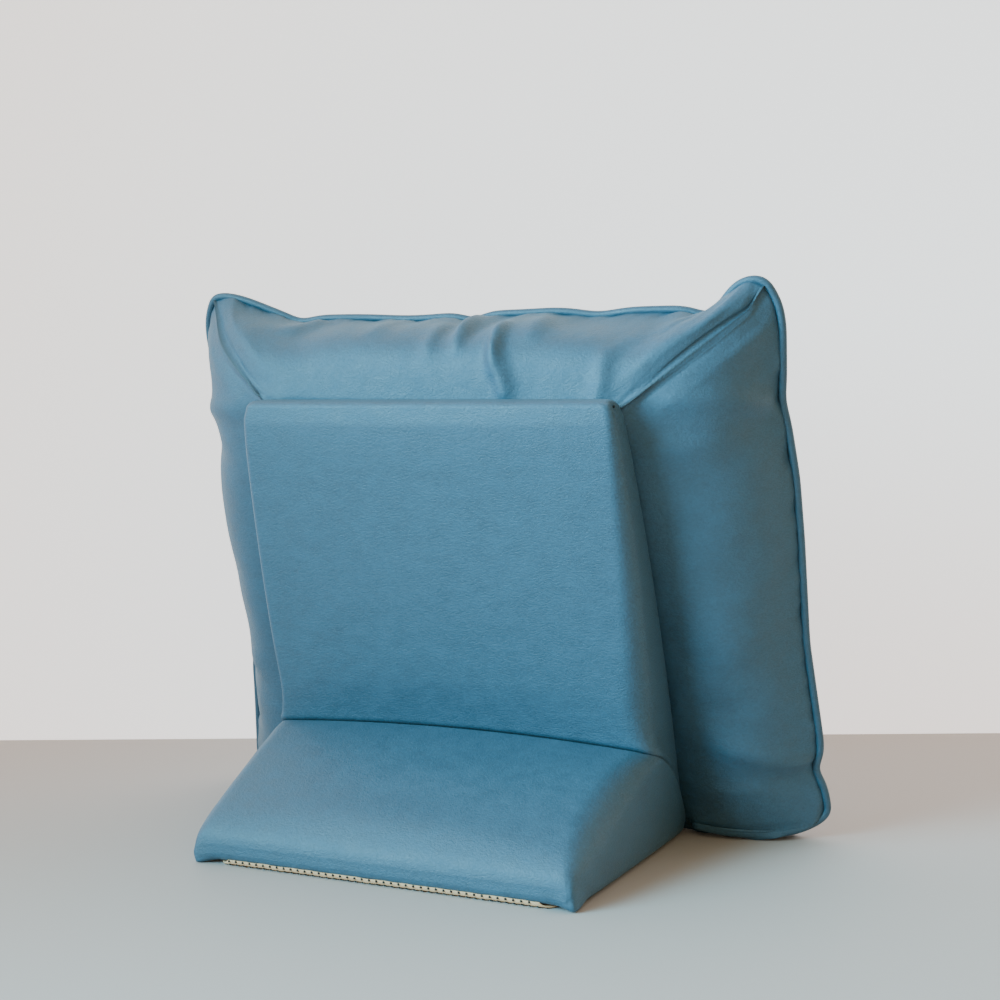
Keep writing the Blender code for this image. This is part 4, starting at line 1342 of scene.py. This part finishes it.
def noise_node(tree, vector, scale, detail, roughness, distortion):
    return new_node(tree, "ShaderNodeTexNoise", {"Scale": scale, "Detail": detail, "Roughness": roughness,
                                                 "Distortion": distortion, "Vector": vector})


def math_node(tree, operation, first, second):
    return new_node(tree, "ShaderNodeMath", {0: first, 1: second}, operation=operation).outputs[0]


def range_node(tree, value, low, high, to_low=0.0, to_high=1.0):
    return new_node(tree, "ShaderNodeMapRange", {"Value": value, "From Min": low, "From Max": high,
                                                 "To Min": to_low, "To Max": to_high}).outputs["Result"]


def vector_node(tree, operation, inputs):
    return new_node(tree, "ShaderNodeVectorMath", inputs, operation=operation).outputs["Vector"]


def mix_node(tree, share, first, second):
    """A blend of two colours."""
    made = new_node(tree, "ShaderNodeMix", {"Factor": share, MIX_FIRST: first, MIX_SECOND: second},
                    data_type="RGBA")
    return made.outputs[MIX_RESULT]


def blend(tree, rows):
    """The sum of values, each times its weight."""
    total = None
    for value, weight in rows:
        part = math_node(tree, "MULTIPLY", value, weight)
        total = part if total is None else math_node(tree, "ADD", total, part)
    return total


def hide_grain_group():
    """Height of an imitation-leather grain: short wavy creases, longer across than up."""
    tree, start, end = new_tree("hide grain", "ShaderNodeTree", [("Vector", "Vector", None)],
                                [("Height", "Float"), ("Creases", "Float")])
    stretched = vector_node(tree, "MULTIPLY", {0: start.outputs["Vector"], 1: GRAIN_STRETCH})
    drift = noise_node(tree, start.outputs["Vector"], *DRIFT_NOISE)
    bent = vector_node(tree, "MULTIPLY_ADD", {0: drift.outputs["Color"], 1: DRIFT_REACH, 2: stretched})
    creases = noise_node(tree, bent, *CREASE_NOISE)
    pebble = new_node(tree, "ShaderNodeTexVoronoi", {"Scale": PEBBLE_SCALE, "Vector": bent},
                      feature="DISTANCE_TO_EDGE")
    cells = range_node(tree, pebble.outputs["Distance"], *PEBBLE_RANGE)
    lines = range_node(tree, creases.outputs["Fac"], *CREASE_RANGE)
    tree.links.new(blend(tree, ((lines, CREASE_SHARE), (cells, PEBBLE_SHARE))), end.inputs["Height"])
    tree.links.new(lines, end.inputs["Creases"])
    return tree


def hide_tone_group():
    """Colour of the dyed surface: soft clouds, fine speckle, and darker grain creases."""
    tree, start, end = new_tree(
        "hide tone", "ShaderNodeTree",
        [("Vector", "Vector", None), ("Creases", "Float", 0.5),
         ("Light", "Color", (1, 1, 1, 1)), ("Dark", "Color", (0, 0, 0, 1))],
        [("Colour", "Color"), ("Cloud", "Float")])
    stretched = vector_node(tree, "MULTIPLY", {0: start.outputs["Vector"], 1: CLOUD_STRETCH})
    clouds = noise_node(tree, stretched, *CLOUD_NOISE)
    specks = noise_node(tree, start.outputs["Vector"], *SPECK_NOISE)
    cloud = range_node(tree, clouds.outputs["Fac"], *CLOUD_RANGE)
    speck = range_node(tree, specks.outputs["Fac"], *SPECK_RANGE)
    parts = (cloud, speck, start.outputs["Creases"])
    share = blend(tree, zip(parts, TONE_SHARES))
    mixed = mix_node(tree, share, start.outputs["Dark"], start.outputs["Light"])
    tree.links.new(mixed, end.inputs["Colour"])
    tree.links.new(cloud, end.inputs["Cloud"])
    return tree


GRAIN = hide_grain_group()
TONE = hide_tone_group()


def hide_material(name, light, dark, roughness, grain_height):
    """Blue imitation leather: satin, softly mottled, with a fine wavy grain and painted shade along its
    seams.
    """
    made, tree, shader = new_material(
        name, Specular_IOR_Level=GLOSS, Specular_Tint=solid(GLOSS_TINT), Sheen_Weight=SHEEN,
        Sheen_Roughness=SHEEN_ROUGH, Sheen_Tint=solid(SHEEN_TINT))
    spot = new_node(tree, "ShaderNodeTexCoord").outputs["Object"]
    grain = new_node(tree, "ShaderNodeGroup", node_tree=GRAIN)
    feed(tree, grain, {"Vector": spot})
    tone = new_node(tree, "ShaderNodeGroup", node_tree=TONE)
    feed(tree, tone, {"Light": solid(light), "Dark": solid(dark), "Vector": spot,
                      "Creases": grain.outputs["Creases"]})
    # Painted shade along the seams, from the piece's own point attribute.
    lines = new_node(tree, "ShaderNodeAttribute", attribute_name="painted seam shade")
    shade_share = math_node(tree, "MULTIPLY", lines.outputs["Fac"], SEAM_SHADE_STRENGTH)
    rough = (roughness - MATT_LESS, roughness + MATT_MORE)
    relief = new_node(tree, "ShaderNodeBump", {"Strength": GRAIN_STRENGTH, "Distance": grain_height,
                                               "Height": grain.outputs["Height"]})
    feed(tree, shader, {
        "Base Color": mix_node(tree, shade_share, tone.outputs["Colour"], solid(SEAM_SHADE_COLOUR)),
        "Roughness": range_node(tree, tone.outputs["Cloud"], 0.0, 1.0, *rough),
        "Normal": relief.outputs["Normal"]})
    return made


def grip_material():
    """Tan cloth: a fine plain weave."""
    made, tree, shader = new_material("grip cloth", Roughness=TAN_ROUGH)
    spot = new_node(tree, "ShaderNodeTexCoord").outputs["Object"]
    weave = new_node(tree, "ShaderNodeTexChecker", {"Scale": WEAVE_SCALE, "Color1": solid(TAN_LIGHT),
                                                    "Color2": solid(TAN_DARK), "Vector": spot})
    feed(tree, shader, {"Base Color": weave.outputs["Color"]})
    return made


def plain_material(name, colour, roughness, **inputs):
    return new_material(name, Base_Color=solid(colour), Roughness=roughness, **inputs)[0]


def backdrop_material():
    """Pale, with a soft glow of its own, and clear from behind, so that it hides nothing there."""
    made = plain_material("pale backdrop", BACKDROP_GREY, STUDIO_MATT,
                          Emission_Color=solid(BACKDROP_GREY), Emission_Strength=BACKDROP_GLOW)
    tree = made.node_tree
    side = new_node(tree, "ShaderNodeNewGeometry").outputs["Backfacing"]
    clear = new_node(tree, "ShaderNodeBsdfTransparent").outputs["BSDF"]
    swap_shader(tree, side, tree.nodes["Principled BSDF"].outputs["BSDF"], clear, "Material Output")
    return made


def swap_shader(tree, share, first, second, output):
    """Show the second shader instead of the first where the share is 1."""
    mix = new_node(tree, "ShaderNodeMixShader", {0: share, 1: first, 2: second})
    feed(tree, tree.nodes[output], {"Surface": mix.outputs["Shader"]})


# Floor, lights and camera

def add_plane(name, turn, spot, finish):
    bpy.ops.mesh.primitive_plane_add(size=STUDIO_SIZE, rotation=turn)
    plane = bpy.context.object
    plane.name = name
    plane.location = spot
    plane.data.materials.append(finish)
    return plane


def add_room():
    """A plain pale floor, and a plain backdrop square to the camera."""
    level = (0.0, 0.0, 0.0)
    floor = add_plane("floor", level, level, plain_material("pale floor", FLOOR_GREY, STUDIO_MATT))
    away = Vector((-sin(CAMERA_AZIMUTH), cos(CAMERA_AZIMUTH), 0.0)) * BACKDROP_AWAY
    spot = (CAMERA_PLACE[0] + away.x, CAMERA_PLACE[1] + away.y, BACKDROP_MIDDLE)
    backdrop = add_plane("backdrop", (pi / 2, 0.0, CAMERA_AZIMUTH), spot, backdrop_material())


def add_light():
    """A soft square light, like a window."""
    turn = radians(LIGHT_AZIMUTH)
    spot = Vector((sin(turn) * LIGHT_AWAY, -cos(turn) * LIGHT_AWAY, LIGHT_HEIGHT))
    data = bpy.data.lights.new("window", "AREA")
    data.size = LIGHT_SIZE
    data.energy = LIGHT_POWER
    data.color = LIGHT_COLOUR
    data.spread = radians(LIGHT_SPREAD)
    light = new_object("window", data)
    light.location = spot
    light.rotation_euler = (Vector(LIGHT_AIM) - spot).to_track_quat("-Z", "Y").to_euler()


def add_world():
    """Soft light from all round; the camera sees it as a plain pale grey."""
    world = bpy.data.worlds.new("studio")
    world.use_nodes = True
    tree = world.node_tree
    around = tree.nodes["Background"]
    feed(tree, around, {"Color": solid(WORLD_COLOUR), "Strength": WORLD_STRENGTH})
    seen = new_node(tree, "ShaderNodeBackground", {"Color": solid(WORLD_SEEN)})
    camera_ray = new_node(tree, "ShaderNodeLightPath").outputs["Is Camera Ray"]
    swap_shader(tree, camera_ray, around.outputs["Background"], seen.outputs["Background"], "World Output")
    bpy.context.scene.world = world


def add_camera():
    """The photograph's view: place, direction, roll and lens."""
    data = bpy.data.cameras.new("camera")
    data.sensor_width = SENSOR
    data.lens = CAMERA_LENS
    camera = new_object("camera", data)
    level = cos(CAMERA_DIP)
    look = Vector((-sin(CAMERA_AZIMUTH) * level, cos(CAMERA_AZIMUTH) * level, -sin(CAMERA_DIP)))
    right = Vector((cos(CAMERA_AZIMUTH), sin(CAMERA_AZIMUTH), 0.0))
    up = right.cross(look)
    across = right * cos(CAMERA_ROLL) - up * sin(CAMERA_ROLL)
    above = right * sin(CAMERA_ROLL) + up * cos(CAMERA_ROLL)
    turn = Matrix((across, above, -look)).transposed()
    camera.matrix_world = Matrix.Translation(Vector(CAMERA_PLACE) + Vector(STEP)) @ turn.to_4x4()
    bpy.context.scene.camera = camera


def main():
    add_camera()
    add_light()
    add_world()
    add_room()
    cover = hide_material("cushion cover", *COVER_FINISH)
    cord = hide_material("piping cover", *CORD_FINISH)
    pad = hide_material("stand cover", *COVER_FINISH)
    cushion = add_piece("cushion_cover", cushion_shape(), cover, ["cushion"])
    piping = add_piping(cord)
    upright_shape = dimpled(pad_shape(upright_rings()), STITCH_SPOT, STITCH_DEEP, STITCH_REACH)
    foot_shape = dimpled(pad_shape(foot_rings()), TUCK_SPOT, TUCK_DEEP, TUCK_REACH)
    upright = add_piece("upright_cover", upright_shape, pad, ["upright_pad"])
    foot = add_piece("foot_cover", foot_shape, pad, ["foot_pad"])
    add_stitch("corner_stitch", STITCH_SPOT, STITCH_THICK, plain_material("dark thread", *THREAD))
    grip = add_piece("grip_cloth", grip_shape(), grip_material(), ["grip_sheet"])
    rubber = plain_material("dot rubber", *RUBBER)
    places, directions = dot_spots()
    facing = [("facing", "FLOAT_VECTOR", directions)]
    dots = grown("rubber_dots", places, [], facing, dots_tree(rubber), {}, rubber)


main()
